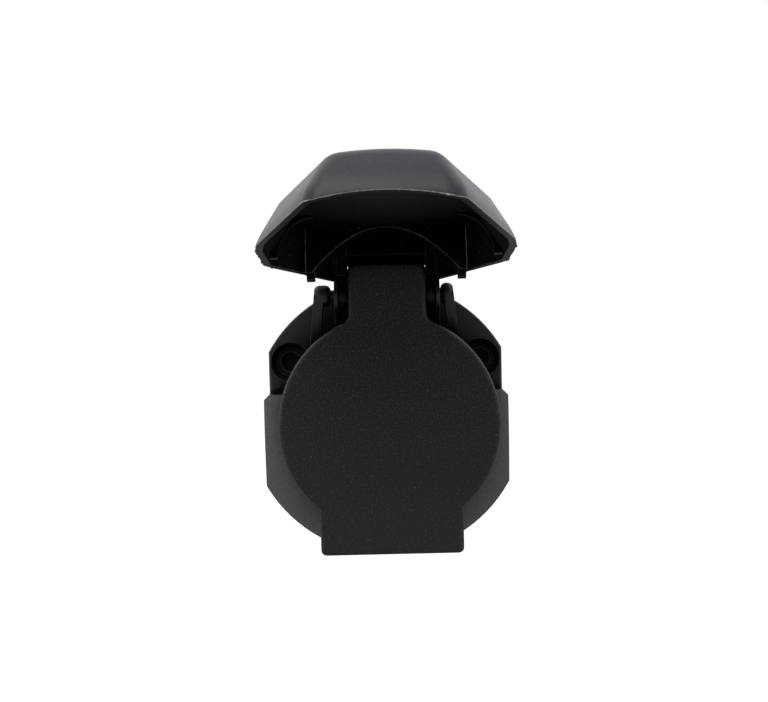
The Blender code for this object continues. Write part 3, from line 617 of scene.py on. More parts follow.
def lid_outline():
    """Disc, neck and tab in one outline, from the top down the right side."""
    top = HINGE_Z + NECK_ABOVE_PIN
    corner = arc((NECK_HALF_WIDTH - NECK_CORNER, top - NECK_CORNER), NECK_CORNER, 90, 0, 4)
    reach = NECK_HALF_WIDTH + NECK_FILLET
    fillet_z = math.sqrt((LID_RADIUS + NECK_FILLET) ** 2 - reach ** 2)
    meet = math.degrees(math.atan2(fillet_z, reach))
    fillet = arc((reach, fillet_z), NECK_FILLET, 180, 180 + meet, 5)
    last = -math.degrees(math.acos(TAB_HALF_WIDTH / LID_RADIUS))
    disc = arc((0, 0), LID_RADIUS, meet, last, 26)
    foot = arc((TAB_HALF_WIDTH - TAB_CORNER, TAB_CORNER - TAB_REACH), TAB_CORNER, 0, -90, 3)
    return mirrored(corner + fillet + disc[1:] + foot)


def lid_barrel():
    """The lid's bar round the pin, which the coil's space then parts into two barrels."""
    half = NECK_HALF_WIDTH - CLEARANCE / 3
    return rod_along("X", -half, half, BARREL_RADIUS, (HINGE_Y, HINGE_Z), SMALL_ROUND)


def tab_pocket():
    """The hollow behind the thumb tab, which keeps the tab's wall even."""
    top = -LID_RADIUS + LID_WALL
    return block((LID_WALL - TAB_HALF_WIDTH, TAB_HALF_WIDTH - LID_WALL),
                 (LID_REAR - LID_RECESS, LID_REAR + OVERCUT), (LID_WALL - TAB_REACH, top - LID_WALL))


def make_lid():
    lid = plate(lid_outline(), LID_FRONT, LID_REAR, LID_EDGE)
    recess = rod_along("Y", LID_REAR - LID_RECESS, LID_REAR + OVERCUT, LID_RADIUS - LID_WALL)
    boss = rod_along("Y", LID_REAR - LID_RECESS - OVERCUT, LID_REAR + PLUG_BOSS_HEIGHT,
                     SEAL_INNER_RADIUS - PLUG_BOSS_GAP)
    cut(lid, recess, tab_pocket())
    coil_space = rod_along("X", -BARREL_INNER, BARREL_INNER, BARREL_RADIUS + CLEARANCE,
                           (HINGE_Y, HINGE_Z), SMALL_ROUND)
    side = LEG_GROOVE_WIDTH / 2
    leg_front = HINGE_Y - COIL_RADIUS - WIRE_RADIUS - CLEARANCE
    leg_groove = block((COIL_HALF_LENGTH - side, COIL_HALF_LENGTH + side), (leg_front, LID_REAR + OVERCUT),
                       (HINGE_Z, HINGE_Z + NECK_ABOVE_PIN - LID_WALL + CLEARANCE))
    join(lid, boss, lid_barrel())
    cut(lid, coil_space, leg_groove)
    cut(lid, pin_hole(NECK_HALF_WIDTH))
    return slide_along_pin(lid, LID_PLAY)


def spring_path():
    """One leg up behind the lid's neck, the coil round the pin, and one leg back to the ledge."""
    points = [(COIL_HALF_LENGTH, -COIL_RADIUS, SPRING_LID_LEG)]
    steps = COIL_TURNS * COIL_STEPS + COIL_STEPS // 4
    for i in range(steps + 1):
        angle = math.pi + 2 * math.pi * i / COIL_STEPS
        x = COIL_HALF_LENGTH - 2 * COIL_HALF_LENGTH * i / steps
        points.append((x, COIL_RADIUS * math.cos(angle), COIL_RADIUS * math.sin(angle)))
    points.append((-COIL_HALF_LENGTH, SPRING_HOUSING_LEG, -COIL_RADIUS - SPRING_LEG_DROP))
    return [(x, HINGE_Y + y, HINGE_Z + z) for x, y, z in points]


def make_lid_spring():
    data = bpy.data.curves.new("lid_spring", "CURVE")
    data.dimensions = "3D"
    data.bevel_depth = WIRE_RADIUS
    data.bevel_resolution = 3
    data.use_fill_caps = True
    spline = data.splines.new("POLY")
    points = spring_path()
    spline.points.add(len(points) - 1)
    for point, place in zip(spline.points, points):
        point.co = (*place, 1.0)
    made = link(bpy.data.objects.new("coil", data))
    bpy.context.view_layer.update()
    return slide_along_pin(mesh_from_curve(made), LID_PLAY)


def lay_hood(tool):
    """Move a shape from the hood's own frame to its open place on the pin.

    In that frame the pin is the X axis, -Y runs along the rim and +Z points to the roof.
    """
    tool.matrix_world = Matrix.Translation((0, HINGE_Y, HINGE_Z)) @ Matrix.Rotation(-HOOD_TILT, 4, "X")
    return tool


def rim_corners():
    """Right half of the rim's outline: half-width and distance from the pin."""
    return [
        (REAR_HALF_WIDTH, HOOD_REAR), (HOOD_HALF_WIDTH - FLANK_INSET, HOOD_LENGTH * FLANK_AT),
        (HOOD_HALF_WIDTH, HOOD_LENGTH * WIDEST_AT), (HOOD_HALF_WIDTH - BROW_INSET, HOOD_LENGTH * BROW_AT),
        (END_HALF_WIDTH, HOOD_LENGTH)]


def inset_outline(insets):
    """The rim's outline with each wall moved inwards, as points from the rear to the end."""
    corners = rim_corners()
    lines = [((0.0, -1.0), -HOOD_REAR - insets[0])]
    for (x0, s0), (x1, s1), inset in zip(corners, corners[1:], insets[1:]):
        length = math.hypot(x1 - x0, s1 - s0)
        normal = ((s1 - s0) / length, -(x1 - x0) / length)
        lines.append((normal, normal[0] * x0 + normal[1] * s0 - inset))
    lines.append(((0.0, 1.0), HOOD_LENGTH - insets[-1]))
    points = []
    for (n0, d0), (n1, d1) in zip(lines, lines[1:]):
        bottom = n0[0] * n1[1] - n0[1] * n1[0]
        points.append(((d0 * n1[1] - d1 * n0[1]) / bottom, (n0[0] * d1 - n1[0] * d0) / bottom))
    return points


def across(x, s):
    """Points between the two sides at one distance from the pin, from right to left."""
    return [(x * (1.0 - 2.0 * i / ROOF_COLUMNS), s) for i in range(1, ROOF_COLUMNS)]


def hood_ring(shape, outline, height):
    """One closed ring of a loft: right side, end, left side and rear."""
    left = [(-x, s) for x, s in reversed(outline)]
    ring = outline + across(*outline[-1]) + left + across(*outline[0])[::-1]
    return [shape.verts.new((x, -s, height(x, s))) for x, s in ring]


def hood_form(inset, low, lowered):
    """A loft of the upright lip, the leaning walls and the crowned roof."""
    drafts = (REAR_DRAFT, SHOULDER_DRAFT, SIDE_DRAFT, SIDE_DRAFT, SIDE_DRAFT, END_DRAFT)
    rim = inset_outline([inset] * len(drafts))
    top = inset_outline([inset + draft for draft in drafts])
    shape = bmesh.new()
    rings = [
        hood_ring(shape, rim, lambda x, s: low),
        hood_ring(shape, rim, lambda x, s: RIM_OFFSET + RIM_LIP),
        hood_ring(shape, top, lambda x, s: roof_at(x, s, top) - lowered)]
    for below, above in zip(rings, rings[1:]):
        for i in range(len(below)):
            j = (i + 1) % len(below)
            shape.faces.new((below[i], below[j], above[j], above[i]))
    shape.faces.new(rings[0][::-1])
    cap_roof(shape, rings[-1], top, lowered)
    return lay_hood(object_from("hood_form", shape))


def cap_roof(shape, ring, top, lowered):
    """The roof's grid: one row of points across it at each corner of its outline."""
    count = len(top)
    far = ring[count:count + ROOF_COLUMNS - 1]
    near = ring[count * 2 + ROOF_COLUMNS - 1:][::-1]
    rows = []
    for k, (x, s) in enumerate(top):
        right, left = ring[k], ring[count * 2 + ROOF_COLUMNS - 2 - k]
        if k == 0:
            middle = near
        elif k == count - 1:
            middle = far
        else:
            middle = [shape.verts.new((a, -b, roof_at(a, b, top) - lowered)) for a, b in across(x, s)]
        rows.append([right, *middle, left])
    for first, second in zip(rows, rows[1:]):
        for i in range(ROOF_COLUMNS):
            shape.faces.new((first[i], first[i + 1], second[i + 1], second[i]))


def roof_at(x, s, outline):
    """Height of the roof's outer face, crowned between the sides of its outline."""
    half = max(a for a, b in outline if abs(b - s) < OVERCUT / 10)
    return RIM_OFFSET + roof(s) + ROOF_CROWN * s / HOOD_LENGTH * (1.0 - (x / half) ** 2)


def roof(s):
    """Height of the roof's outer face above the rim plane."""
    share = (s - HOOD_REAR) / (HOOD_LENGTH - HOOD_REAR)
    return ROOF_AT_HINGE + (ROOF_AT_END - ROOF_AT_HINGE) * share


def below_rim():
    """What is cut off below the rim: level up to the widest place, then falling to the end."""
    widest = HOOD_LENGTH * WIDEST_AT
    fall = RIM_DROP / (HOOD_LENGTH - widest)
    past = HOOD_LENGTH + OVERCUT
    floor = RIM_LOWEST - RIM_DROP
    outline = [
        (OVERCUT, RIM_OFFSET), (-widest, RIM_OFFSET),
        (-past, RIM_OFFSET - fall * (past - widest)), (-past, floor), (OVERCUT, floor)]
    reach = HOOD_HALF_WIDTH + OVERCUT
    return lay_hood(side_plate(outline, -reach, reach))


def parabola(half_width, base, height):
    """An arch outline on two short legs, from its right foot over the crown to its left foot."""
    points = [(half_width, base - OVERCUT * 2)]
    for i in range(ARCH_ROUND + 1):
        share = 1.0 - 2.0 * i / ARCH_ROUND
        points.append((half_width * share, base + height * (1.0 - share * share)))
    points.append((-half_width, base - OVERCUT * 2))
    return points


def rim_arch():
    """The shallow arch cut into the rim of the end wall."""
    outline = parabola(END_HALF_WIDTH - HOOD_WALL, RIM_OFFSET - RIM_DROP, RIM_ARCH)
    return lay_hood(plate(outline, -HOOD_LENGTH - OVERCUT, -HOOD_LENGTH + HOOD_WALL + OVERCUT))


def arch_opening():
    """The arched tunnel through the bridge, as wide as the lid's neck and the arms need."""
    outline = parabola(ARCH_HALF_WIDTH, RIM_OFFSET - BRIDGE_DROP, ARCH_HEIGHT + BRIDGE_DROP)
    tunnel = lay_hood(plate(outline, -BRIDGE_FRONT - OVERCUT, -HOOD_REAR - REAR_WALL))
    wall = HOOD_WALL + CLEARANCE / 3
    return keep(tunnel, hood_form(wall, RIM_LOWEST - OVERCUT, wall))


def hood_bridge():
    """The block over the pin that carries the tunnel, from pocket to pocket of the hood."""
    return lay_hood(block((-BRIDGE_HALF_WIDTH, BRIDGE_HALF_WIDTH), (-BRIDGE_FRONT, -HOOD_REAR),
                          (RIM_OFFSET - BRIDGE_DROP, RIM_OFFSET + ROOF_AT_HINGE + ROOF_CROWN)))


def rear_gap():
    """The opening in the rear wall between the arms, clear of the lid's neck as it turns."""
    half = ARM_INNER + CLEARANCE / 3
    return lay_hood(block((-half, half), (-HOOD_REAR - REAR_WALL - OVERCUT, OVERCUT), (0.0, NECK_SWEEP)))


def neck_cover():
    """The curved cover that closes the hood behind the lid's neck, round the pin's axis."""
    inner = arc((0, 0), NECK_SWEEP, COVER_FROM, COVER_TO, 8)
    outer = arc((0, 0), NECK_SWEEP + COVER_THICKNESS, COVER_TO, COVER_FROM, 8)
    half = ARM_INNER + ARM_THICKNESS / 4
    return lay_hood(side_plate(inner + outer, -half, half))


def hood_hook():
    """The small hook at the foot of the bridge's left leg."""
    outer = CLEARANCE - BRIDGE_HALF_WIDTH
    front = CLEARANCE - BRIDGE_FRONT
    return lay_hood(block((outer, outer + HOOK_WIDTH), (front, front + HOOK_DEPTH),
                          (RIM_OFFSET - HOOK_REACH, RIM_OFFSET + OVERCUT)))


def corner_web():
    """The web across the left pocket, with its free edge curved from the roof to the side wall."""
    end = -POCKET_WEB_AT - POCKET_WEB_WALL
    web = lay_hood(block((-HOOD_HALF_WIDTH, -WEB_ARC_CENTRE), (end, -POCKET_WEB_AT),
                         (RIM_OFFSET + RIM_LIP, RIM_OFFSET + ROOF_AT_HINGE)))
    keep(web, hood_form(HOOD_WALL / 2, RIM_OFFSET, HOOD_WALL / 2))
    circle = arc((0, 0), 1.0, 0.0, 360.0, WEB_ARC_STEPS)[:-1]
    curve = [(WEB_ARC_WIDTH * x - WEB_ARC_CENTRE, WEB_ARC_HEIGHT * z + RIM_OFFSET) for x, z in circle]
    return cut(web, lay_hood(plate(curve, end - OVERCUT, OVERCUT - POCKET_WEB_AT)))


def bridge_fin():
    """The small three-cornered fin on the bridge's left side."""
    root = CLEARANCE - BRIDGE_HALF_WIDTH
    outline = [(root, RIM_OFFSET + FIN_BOTTOM), (root, RIM_OFFSET + FIN_TOP),
               (root - FIN_WIDTH, RIM_OFFSET + FIN_TIP)]
    front = CLEARANCE - BRIDGE_FRONT
    fin = lay_hood(plate(outline, front, front + FIN_WALL))
    return keep(fin, hood_form(HOOD_WALL / 2, RIM_OFFSET, HOOD_WALL / 2))


def at_rest(y, z):
    """A point given from the pin in the open pose, in the hood's own frame."""
    c, s = math.cos(HOOD_TILT), math.sin(HOOD_TILT)
    return (y * c - z * s, y * s + z * c)


def arm_reach():
    """How far an arm rises from the pin to run into the roof."""
    return RIM_OFFSET + ROOF_AT_HINGE - HOOD_WALL


def arm_outline(top, front, tail_front, back, tail, radius, notch_top=None):
    """An upright strip that swells into a round boss at the pin, from the top down its front."""
    notch = [] if notch_top is None else [(-front, notch_top), (-tail_front, notch_top)]
    upper = math.degrees(math.acos(-(tail_front if notch else front) / radius))
    lower = 360 - math.degrees(math.acos(-tail_front / radius))
    rear = math.degrees(math.acos(back / radius))
    return [
        (-front, top), *notch, *arc((0, 0), radius, upper, lower, 8), (-tail_front, -tail),
        (back, -tail), *arc((0, 0), radius, -rear, rear, 6), (back, top)]


def hood_arm():
    """The left arm from the hood's roof down to the pin, with a boss, a notch and a short tail."""
    inset = CLEARANCE / 3
    top = arm_reach() * ARM_RISE
    inner_strip = arm_outline(top, ARM_FRONT, TAIL_FRONT, ARM_BACK - inset, ARM_TAIL - inset,
                              ARM_BOSS_RADIUS, ARM_NOTCH_TOP)
    raised_edge = arm_outline(top - ARM_EDGE, ARM_FRONT + inset, TAIL_FRONT + inset / 2, ARM_BACK, ARM_TAIL,
                              ARM_BOSS_RADIUS + ARM_EDGE)
    middle = ARM_EDGE / 2 - ARM_OUTER
    arm = lay_hood(side_plate([at_rest(y, z) for y, z in inner_strip], middle, -ARM_INNER))
    edge = lay_hood(side_plate([at_rest(y, z) for y, z in raised_edge], -ARM_OUTER,
                               ARM_EDGE - ARM_OUTER))
    return [arm, edge]


def make_hood():
    hood = round_edges(hood_form(0.0, RIM_LOWEST, 0.0), HOOD_CORNER, 3, 30.0)
    inside = round_edges(hood_form(HOOD_WALL, RIM_LOWEST - OVERCUT, HOOD_WALL), HOOD_CORNER / 2, 2, 30.0)
    cut(hood, inside)
    cut(hood, below_rim(), rim_arch())
    join(hood, keep(hood_bridge(), hood_form(HOOD_WALL / 2, RIM_LOWEST, HOOD_WALL / 2)))
    join(hood, corner_web(), bridge_fin())
    cut(hood, arch_opening(), rear_gap())
    join(hood, neck_cover(), hood_hook(), *hood_arm())
    cut(hood, pin_hole(ARM_OUTER))
    return slide_along_pin(mirror_half(hood), HOOD_PLAY)


def make_mounting_gasket():
    """Flat rubber behind the flange. It runs on behind the screw holes, for the screws to pierce."""
    gasket = plate(clipped_circle(FLANGE_RADIUS - GASKET_INSET, FLANGE_HALF_WIDTH - GASKET_INSET),
                   CLEARANCE, CLEARANCE + GASKET_THICKNESS)
    cut(gasket, rod_along("Y", -OVERCUT, GASKET_THICKNESS + 2 * OVERCUT, GASKET_HOLE_RADIUS))
    return gasket


def node(tree, kind, **values):
    """Add a shader node; a value goes to the input or the property of that name."""
    made = tree.nodes.new(kind)
    for name, value in values.items():
        if hasattr(made, name):
            setattr(made, name, value)
        else:
            made.inputs[name.replace("_", " ")].default_value = value
    return made


def wire(tree, source, target):
    tree.links.new(source, target)


def surface_place(tree):
    """Coordinates that stay with the piece as it moves."""
    return node(tree, "ShaderNodeTexCoord").outputs["Object"]


def noise(tree, place, scale, detail=4.0, roughness=0.6):
    made = node(tree, "ShaderNodeTexNoise", Scale=scale, Detail=detail, Roughness=roughness)
    wire(tree, place, made.inputs["Vector"])
    return made.outputs["Fac"]


def ranged(tree, source, low, high, to_low, to_high):
    made = node(tree, "ShaderNodeMapRange")
    for name, value in (("From Min", low), ("From Max", high), ("To Min", to_low), ("To Max", to_high)):
        made.inputs[name].default_value = value
    wire(tree, source, made.inputs["Value"])
    return made.outputs["Result"]


def mixed(tree, share, first, second):
    """Mix two colours, given as colours or as sockets."""
    made = node(tree, "ShaderNodeMix", data_type="RGBA")
    wire(tree, share, made.inputs["Factor"])
    for colour, socket in ((first, made.inputs[6]), (second, made.inputs[7])):
        if isinstance(colour, tuple):
            socket.default_value = (*colour, 1.0)
        else:
            wire(tree, colour, socket)
    return made.outputs[2]


def edge_share(tree, radius, low, high):
    """How near a spot is to an outer or inner edge, from 0 to 1."""
    rounded = node(tree, "ShaderNodeBevel", samples=6, Radius=radius)
    plain = node(tree, "ShaderNodeNewGeometry")
    dot = node(tree, "ShaderNodeVectorMath", operation="DOT_PRODUCT")
    wire(tree, rounded.outputs["Normal"], dot.inputs[0])
    wire(tree, plain.outputs["Normal"], dot.inputs[1])
    return ranged(tree, dot.outputs["Value"], low, high, 1.0, 0.0)


def painted_shade_and_wear_mask(tree, distance, low, high):
    """How open a spot lies, from 0 in recesses and inner corners to 1 on outer faces: the mask of painted
    shade in recesses and of edge wear.
    """
    shade = node(tree, "ShaderNodeAmbientOcclusion", samples=8, Distance=distance)
    return ranged(tree, shade.outputs["AO"], low, high, 0.0, 1.0)


def product(tree, first, second):
    made = node(tree, "ShaderNodeMath", operation="MULTIPLY")
    wire(tree, first, made.inputs[0])
    wire(tree, second, made.inputs[1])
    return made.outputs[0]


def bumped(tree, height, strength, distance, radius):
    """A bump on top of softly rounded edges."""
    rounded = node(tree, "ShaderNodeBevel", samples=6, Radius=radius)
    bump = node(tree, "ShaderNodeBump", Strength=strength, Distance=distance)
    wire(tree, height, bump.inputs["Height"])
    wire(tree, rounded.outputs["Normal"], bump.inputs["Normal"])
    return bump.outputs["Normal"]


def new_material(name, specular=0.5, metallic=0.0):
    made = bpy.data.materials.new(name)
    made.use_nodes = True
    tree = made.node_tree
    shader = tree.nodes["Principled BSDF"]
    shader.inputs["Specular IOR Level"].default_value = specular
    shader.inputs["Metallic"].default_value = metallic
    return made, tree, shader


def painted_light_below(tree, place, tone, top, fade, paler):
    """Painted light: turn a tone paler from a height downwards, over a length of fade."""
    split = node(tree, "ShaderNodeSeparateXYZ")
    wire(tree, place, split.inputs[0])
    painted_light_share = ranged(tree, split.outputs["Z"], top, top - fade, 0.0, 0.85)
    return mixed(tree, painted_light_share, tone, paler)


def moulded(name, painted_recess_shade, dark, light, edge, grain, speckle, depth, roughness, specular,
            below=None, painted_shade_range=(0.50, 0.90)):
    """Moulded plastic: cloudy tone, grain, dust specks, painted shade in recesses and paler worn edges.

    grain is the size of the texture's cells, speckle how much its tone varies and depth its height.
    below is the height, the fade and the tone of a lower part painted paler, as painted light. The first
    colour is the painted shade in recesses, and the last argument the range of ambient occlusion, from a
    recess to an open face, over which that painted shade is laid.
    """
    rounding = 0.25 * MM
    made, tree, shader = new_material(name, specular)
    place = surface_place(tree)
    cloud = noise(tree, place, 1 / CLOUD_SIZE, 5.0)
    fine = noise(tree, place, 1 / grain, 2.0, 0.55)
    tone = mixed(tree, ranged(tree, cloud, 0.3, 0.7, 0.0, 1.0), dark, light)
    low = tuple(v * (1.0 - 0.6 * speckle) for v in dark)
    high = tuple(v * (1.0 + 2.6 * speckle) for v in light)
    tone = mixed(tree, ranged(tree, fine, 0.48, 0.32, 0.0, 1.0), tone, low)
    # painted light: the lower part is painted paler
    if below:
        tone = painted_light_below(tree, place, tone, *below)
    tone = mixed(tree, ranged(tree, fine, 0.52, 0.70, 0.0, 1.0), tone, high)
    # painted shade: recesses and inner corners are darkened towards a dark tone by ambient occlusion
    painted_shade_openness = painted_shade_and_wear_mask(tree, RECESS_REACH, *painted_shade_range)
    tone = mixed(tree, painted_shade_openness, painted_recess_shade, tone)
    dust = noise(tree, place, 1 / DUST_SIZE, 1.0, 0.4)
    tone = mixed(tree, ranged(tree, dust, 0.74, 0.78, 0.0, 0.6), tone, edge)
    patches = ranged(tree, noise(tree, place, 1 / WEAR_PATCH), 0.3, 0.6, 0.2, 1.0)
    near_edge = edge_share(tree, rounding * 1.6, 0.80, 0.98)
    wear = product(tree, product(tree, near_edge, painted_shade_and_wear_mask(tree, WEAR_PATCH, 0.55, 0.85)), patches)
    wire(tree, mixed(tree, wear, tone, edge), shader.inputs["Base Color"])
    rough = ranged(tree, cloud, 0.3, 0.7, roughness - 0.05, roughness + 0.06)
    wire(tree, rough, shader.inputs["Roughness"])
    wire(tree, bumped(tree, fine, 0.6, depth, rounding), shader.inputs["Normal"])
    # painted shade on reflections: the specular level falls in recesses by ambient occlusion
    painted_shade_gloss = ranged(tree, painted_shade_openness, 0.0, 1.0, RECESS_GLOSS, specular)
    wire(tree, painted_shade_gloss, shader.inputs["Specular IOR Level"])
    return made


def rubber():
    made, tree, shader = new_material("rubber", 0.3)
    place = surface_place(tree)
    cloud = noise(tree, place, 1 / (12 * MM))
    fine = noise(tree, place, 1 / (0.35 * MM))
    wire(tree, mixed(tree, cloud, (0.012, 0.012, 0.013), (0.026, 0.026, 0.027)), shader.inputs["Base Color"])
    wire(tree, ranged(tree, fine, 0.3, 0.7, 0.72, 0.9), shader.inputs["Roughness"])
    wire(tree, bumped(tree, fine, 0.4, 0.03 * MM, 0.3 * MM), shader.inputs["Normal"])
    return made


def metal(name, dark, light, roughness, stretch):
    """Drawn or turned metal, with its marks running along or round the X or Y axis."""
    made, tree, shader = new_material(name, 0.5, 1.0)
    place = surface_place(tree)
    scaled = node(tree, "ShaderNodeMapping")
    scaled.inputs["Scale"].default_value = stretch
    wire(tree, place, scaled.inputs["Vector"])
    marks = noise(tree, scaled.outputs["Vector"], 1 / (0.4 * MM), 3.0)
    tone = noise(tree, place, 1 / (6 * MM))
    wire(tree, mixed(tree, tone, dark, light), shader.inputs["Base Color"])
    wire(tree, ranged(tree, marks, 0.3, 0.7, roughness - 0.08, roughness + 0.12), shader.inputs["Roughness"])
    wire(tree, bumped(tree, marks, 0.2, 0.02 * MM, 0.15 * MM), shader.inputs["Normal"])
    return made


def smooth_shading():
    """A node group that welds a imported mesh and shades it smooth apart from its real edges."""
    group = bpy.data.node_groups.new("smooth_shading", "GeometryNodeTree")
    group.interface.new_socket("Geometry", in_out="INPUT", socket_type="NodeSocketGeometry")
    group.interface.new_socket("Geometry", in_out="OUTPUT", socket_type="NodeSocketGeometry")
    start = group.nodes.new("NodeGroupInput")
    end = group.nodes.new("NodeGroupOutput")
    weld = group.nodes.new("GeometryNodeMergeByDistance")
    weld.inputs["Distance"].default_value = WELD
    bare = group.nodes.new("GeometryNodeRemoveAttribute")
    bare.inputs["Name"].default_value = "custom_normal"
    faces = group.nodes.new("GeometryNodeSetShadeSmooth")
    faces.domain = "FACE"
    faces.inputs["Shade Smooth"].default_value = True
    edges = group.nodes.new("GeometryNodeSetShadeSmooth")
    edges.domain = "EDGE"
    edges.inputs["Shade Smooth"].default_value = False
    angle = group.nodes.new("GeometryNodeInputMeshEdgeAngle")
    sharp = group.nodes.new("FunctionNodeCompare")
    sharp.operation = "GREATER_THAN"
    sharp.inputs["B"].default_value = math.radians(SHARP_ANGLE)
    group.links.new(angle.outputs["Unsigned Angle"], sharp.inputs["A"])
    group.links.new(sharp.outputs["Result"], edges.inputs["Selection"])
    chain = [start, bare, weld, faces, edges, end]
    for first, second in zip(chain, chain[1:]):
        group.links.new(first.outputs[0], second.inputs[0])
    return group


def dress(names, material, group):
    for name in names:
        piece = NODES[name]
        piece.data.materials.clear()
        piece.data.materials.append(material)
        modifier = piece.modifiers.new("smooth_shading", "NODES")
        modifier.node_group = group


def make_pieces():
    """Build the mouldings, the gasket, the spring and the flash, and finish every CAD node."""
    group = smooth_shading()
    # painted light: the lid's lower part is painted paler, its top being shaded by the hood
    lid = moulded("lid_plastic", (0.006, 0.005, 0.007), (0.014, 0.010, 0.012), (0.021, 0.015, 0.018),
                  (0.14, 0.13, 0.145), grain=0.50 * MM, speckle=0.95, depth=0.12 * MM,
                  roughness=0.5, specular=0.45, below=(24 * MM, 60 * MM, (0.034, 0.030, 0.042)))
    # painted shade: the hood's cavity is darkened over a wider range of ambient occlusion
    hood = moulded("hood_plastic", (0.003, 0.003, 0.007), (0.034, 0.032, 0.043), (0.046, 0.043, 0.058),
                   (0.16, 0.16, 0.18), grain=0.25 * MM, speckle=0.15, depth=0.012 * MM,
                   roughness=0.38, specular=0.5, painted_shade_range=(0.66, 0.96))
    # painted reflection: the housing's lower part is painted pale for the bright surroundings its sloping
    # sides reflect
    housing = moulded("housing_plastic", (0.006, 0.006, 0.009), (0.042, 0.040, 0.050),
                      (0.056, 0.053, 0.064), (0.16, 0.155, 0.175), grain=0.22 * MM, speckle=0.12,
                      depth=0.012 * MM, roughness=0.34, specular=0.5,
                      below=(14 * MM, 5 * MM, (0.25, 0.23, 0.245)))
    insert = moulded("insert_plastic", (0.02, 0.02, 0.022), (0.045, 0.045, 0.05), (0.06, 0.06, 0.066),
                     (0.12, 0.12, 0.13), grain=0.2 * MM, speckle=0.15, depth=0.01 * MM,
                     roughness=0.5, specular=0.45)
    soft = rubber()
    steel = metal("steel", (0.30, 0.30, 0.31), (0.44, 0.44, 0.45), 0.38, (0.05, 1.0, 1.0))
    # near-black steel for the hinge pin: blackened steel, darkened further as painted shade for the hinge
    # gap
    blackened_steel_and_painted_shade = metal("blackened_steel_and_painted_shade", (0.035, 0.035, 0.038), (0.07, 0.07, 0.072), 0.5, (0.05, 1.0, 1.0))
    brass = metal("brass", (0.62, 0.44, 0.18), (0.76, 0.58, 0.28), 0.3, (1.0, 0.05, 1.0))
    show(make_lid(), "lid_moulding", "lid", lid)
    hood_piece = show(make_hood(), "hood_moulding", "hood", hood)
    show(make_housing(), "housing_moulding", "housing", housing)
    show(make_mounting_gasket(), "gasket_sheet", "mounting_gasket", soft)
    show(make_lid_spring(), "spring_coil", "lid_spring", steel, 80.0)
    dress(["contact_carrier", "contact_lock_plate"], insert, group)
    dress(["lid_seal", "rear_boot"], soft, group)
    dress(["hinge_pin"], blackened_steel_and_painted_shade, group)
    numbered = re.compile("contact_[0-9]+$")
    dress([name for name in NODES if numbered.match(name)], brass, group)
    trim_hood(hood_piece)


def hood_place():
    """The hood's own frame, in metres of the part's frame."""
    return Matrix.Translation((HOOD_PLAY, HINGE_Y, HINGE_Z)) @ Matrix.Rotation(-HOOD_TILT, 4, "X")


def sharp_runs(piece, place, wanted):
    """Chains of points along some of a piece's edges, in place's frame, with their outward directions.

    wanted takes the middle of an edge and the normals of its two faces.
    """
    shape = bmesh.new()
    shape.from_mesh(piece.data)
    shape.transform(place.inverted())
    bmesh.ops.remove_doubles(shape, verts=shape.verts, dist=WELD)
    shape.normal_update()
    links = {}
    for edge in shape.edges:
        if len(edge.link_faces) != 2:
            continue
        first, second = (face.normal.copy() for face in edge.link_faces)
        middle = (edge.verts[0].co + edge.verts[1].co) / 2
        if wanted(middle, first, second) or wanted(middle, second, first):
            outward = (first + second).normalized()
            a, b = (vert.index for vert in edge.verts)
            links.setdefault(a, []).append((b, outward))
            links.setdefault(b, []).append((a, outward))
    places = {vert.index: vert.co.copy() for vert in shape.verts if vert.index in links}
    shape.free()
    return chains(links, places)


def chains(links, places):
    """Follow the linked points from end to end, as lists of (point, outward direction)."""
    left = {frozenset((a, b)): out for a, near in links.items() for b, out in near}
    runs = []
    for start in sorted(links, key=lambda i: (len(links[i]) != 1, i)):
        run = [start]
        outs = []
        while True:
            steps = sorted(b for b, _ in links[run[-1]] if frozenset((run[-1], b)) in left)
            if not steps:
                break
            outs.append(left.pop(frozenset((run[-1], steps[0]))))
            run.append(steps[0])
        if outs:
            outs.append(outs[-1])
            runs.append([(places[i], out) for i, out in zip(run, outs)])
    return runs


def resampled(run):
    """Points at even steps along a run."""
    points = []
    for (a, out_a), (b, out_b) in zip(run, run[1:]):
        count = max(1, round((b - a).length / FLASH_STEP))
        for i in range(count):
            share = i / count
            points.append((a.lerp(b, share), out_a.lerp(out_b, share).normalized()))
    points.append(run[-1])
    return points


def ragged(point, base, swing, scale):
    """A size that wanders along an edge, never below zero."""
    wander = field.noise(point / scale) + 0.6 * field.noise(point * 2.7 / scale)
    return max(0.0, base + swing * wander)


def flash(name, runs, place, finish, base, swing, scale):
    """A thin ragged bead along edges, as the mould leaves it."""
    shape = bmesh.new()
    for run in runs:
        points = resampled(run)
        if len(points) < 3:
            continue
        rings = []
        for i, (point, out) in enumerate(points):
            ahead = points[min(i + 1, len(points) - 1)][0]
            behind = points[max(i - 1, 0)][0]
            along = (ahead - behind).normalized()
            side = along.cross(out).normalized()
            height = FLASH_LEAST + ragged(point, base, swing, scale)
            width = FLASH_FOOT + height / 4
            foot = point - out * FLASH_FOOT
            corners = (foot - side * width, point + out * height, foot + side * width)
            rings.append([shape.verts.new(c) for c in corners])
        for first, second in zip(rings, rings[1:]):
            for i in range(3):
                j = (i + 1) % 3
                shape.faces.new((first[i], first[j], second[j], second[i]))
        shape.faces.new(rings[0][::-1])
        shape.faces.new(rings[-1])
    bmesh.ops.recalc_face_normals(shape, faces=shape.faces)
    shape.transform(place)
    mesh = bpy.data.meshes.new(name)
    shape.to_mesh(mesh)
    shape.free()
    mesh.materials.append(finish)
    made = link(bpy.data.objects.new(name, mesh))
    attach(made, "hood")


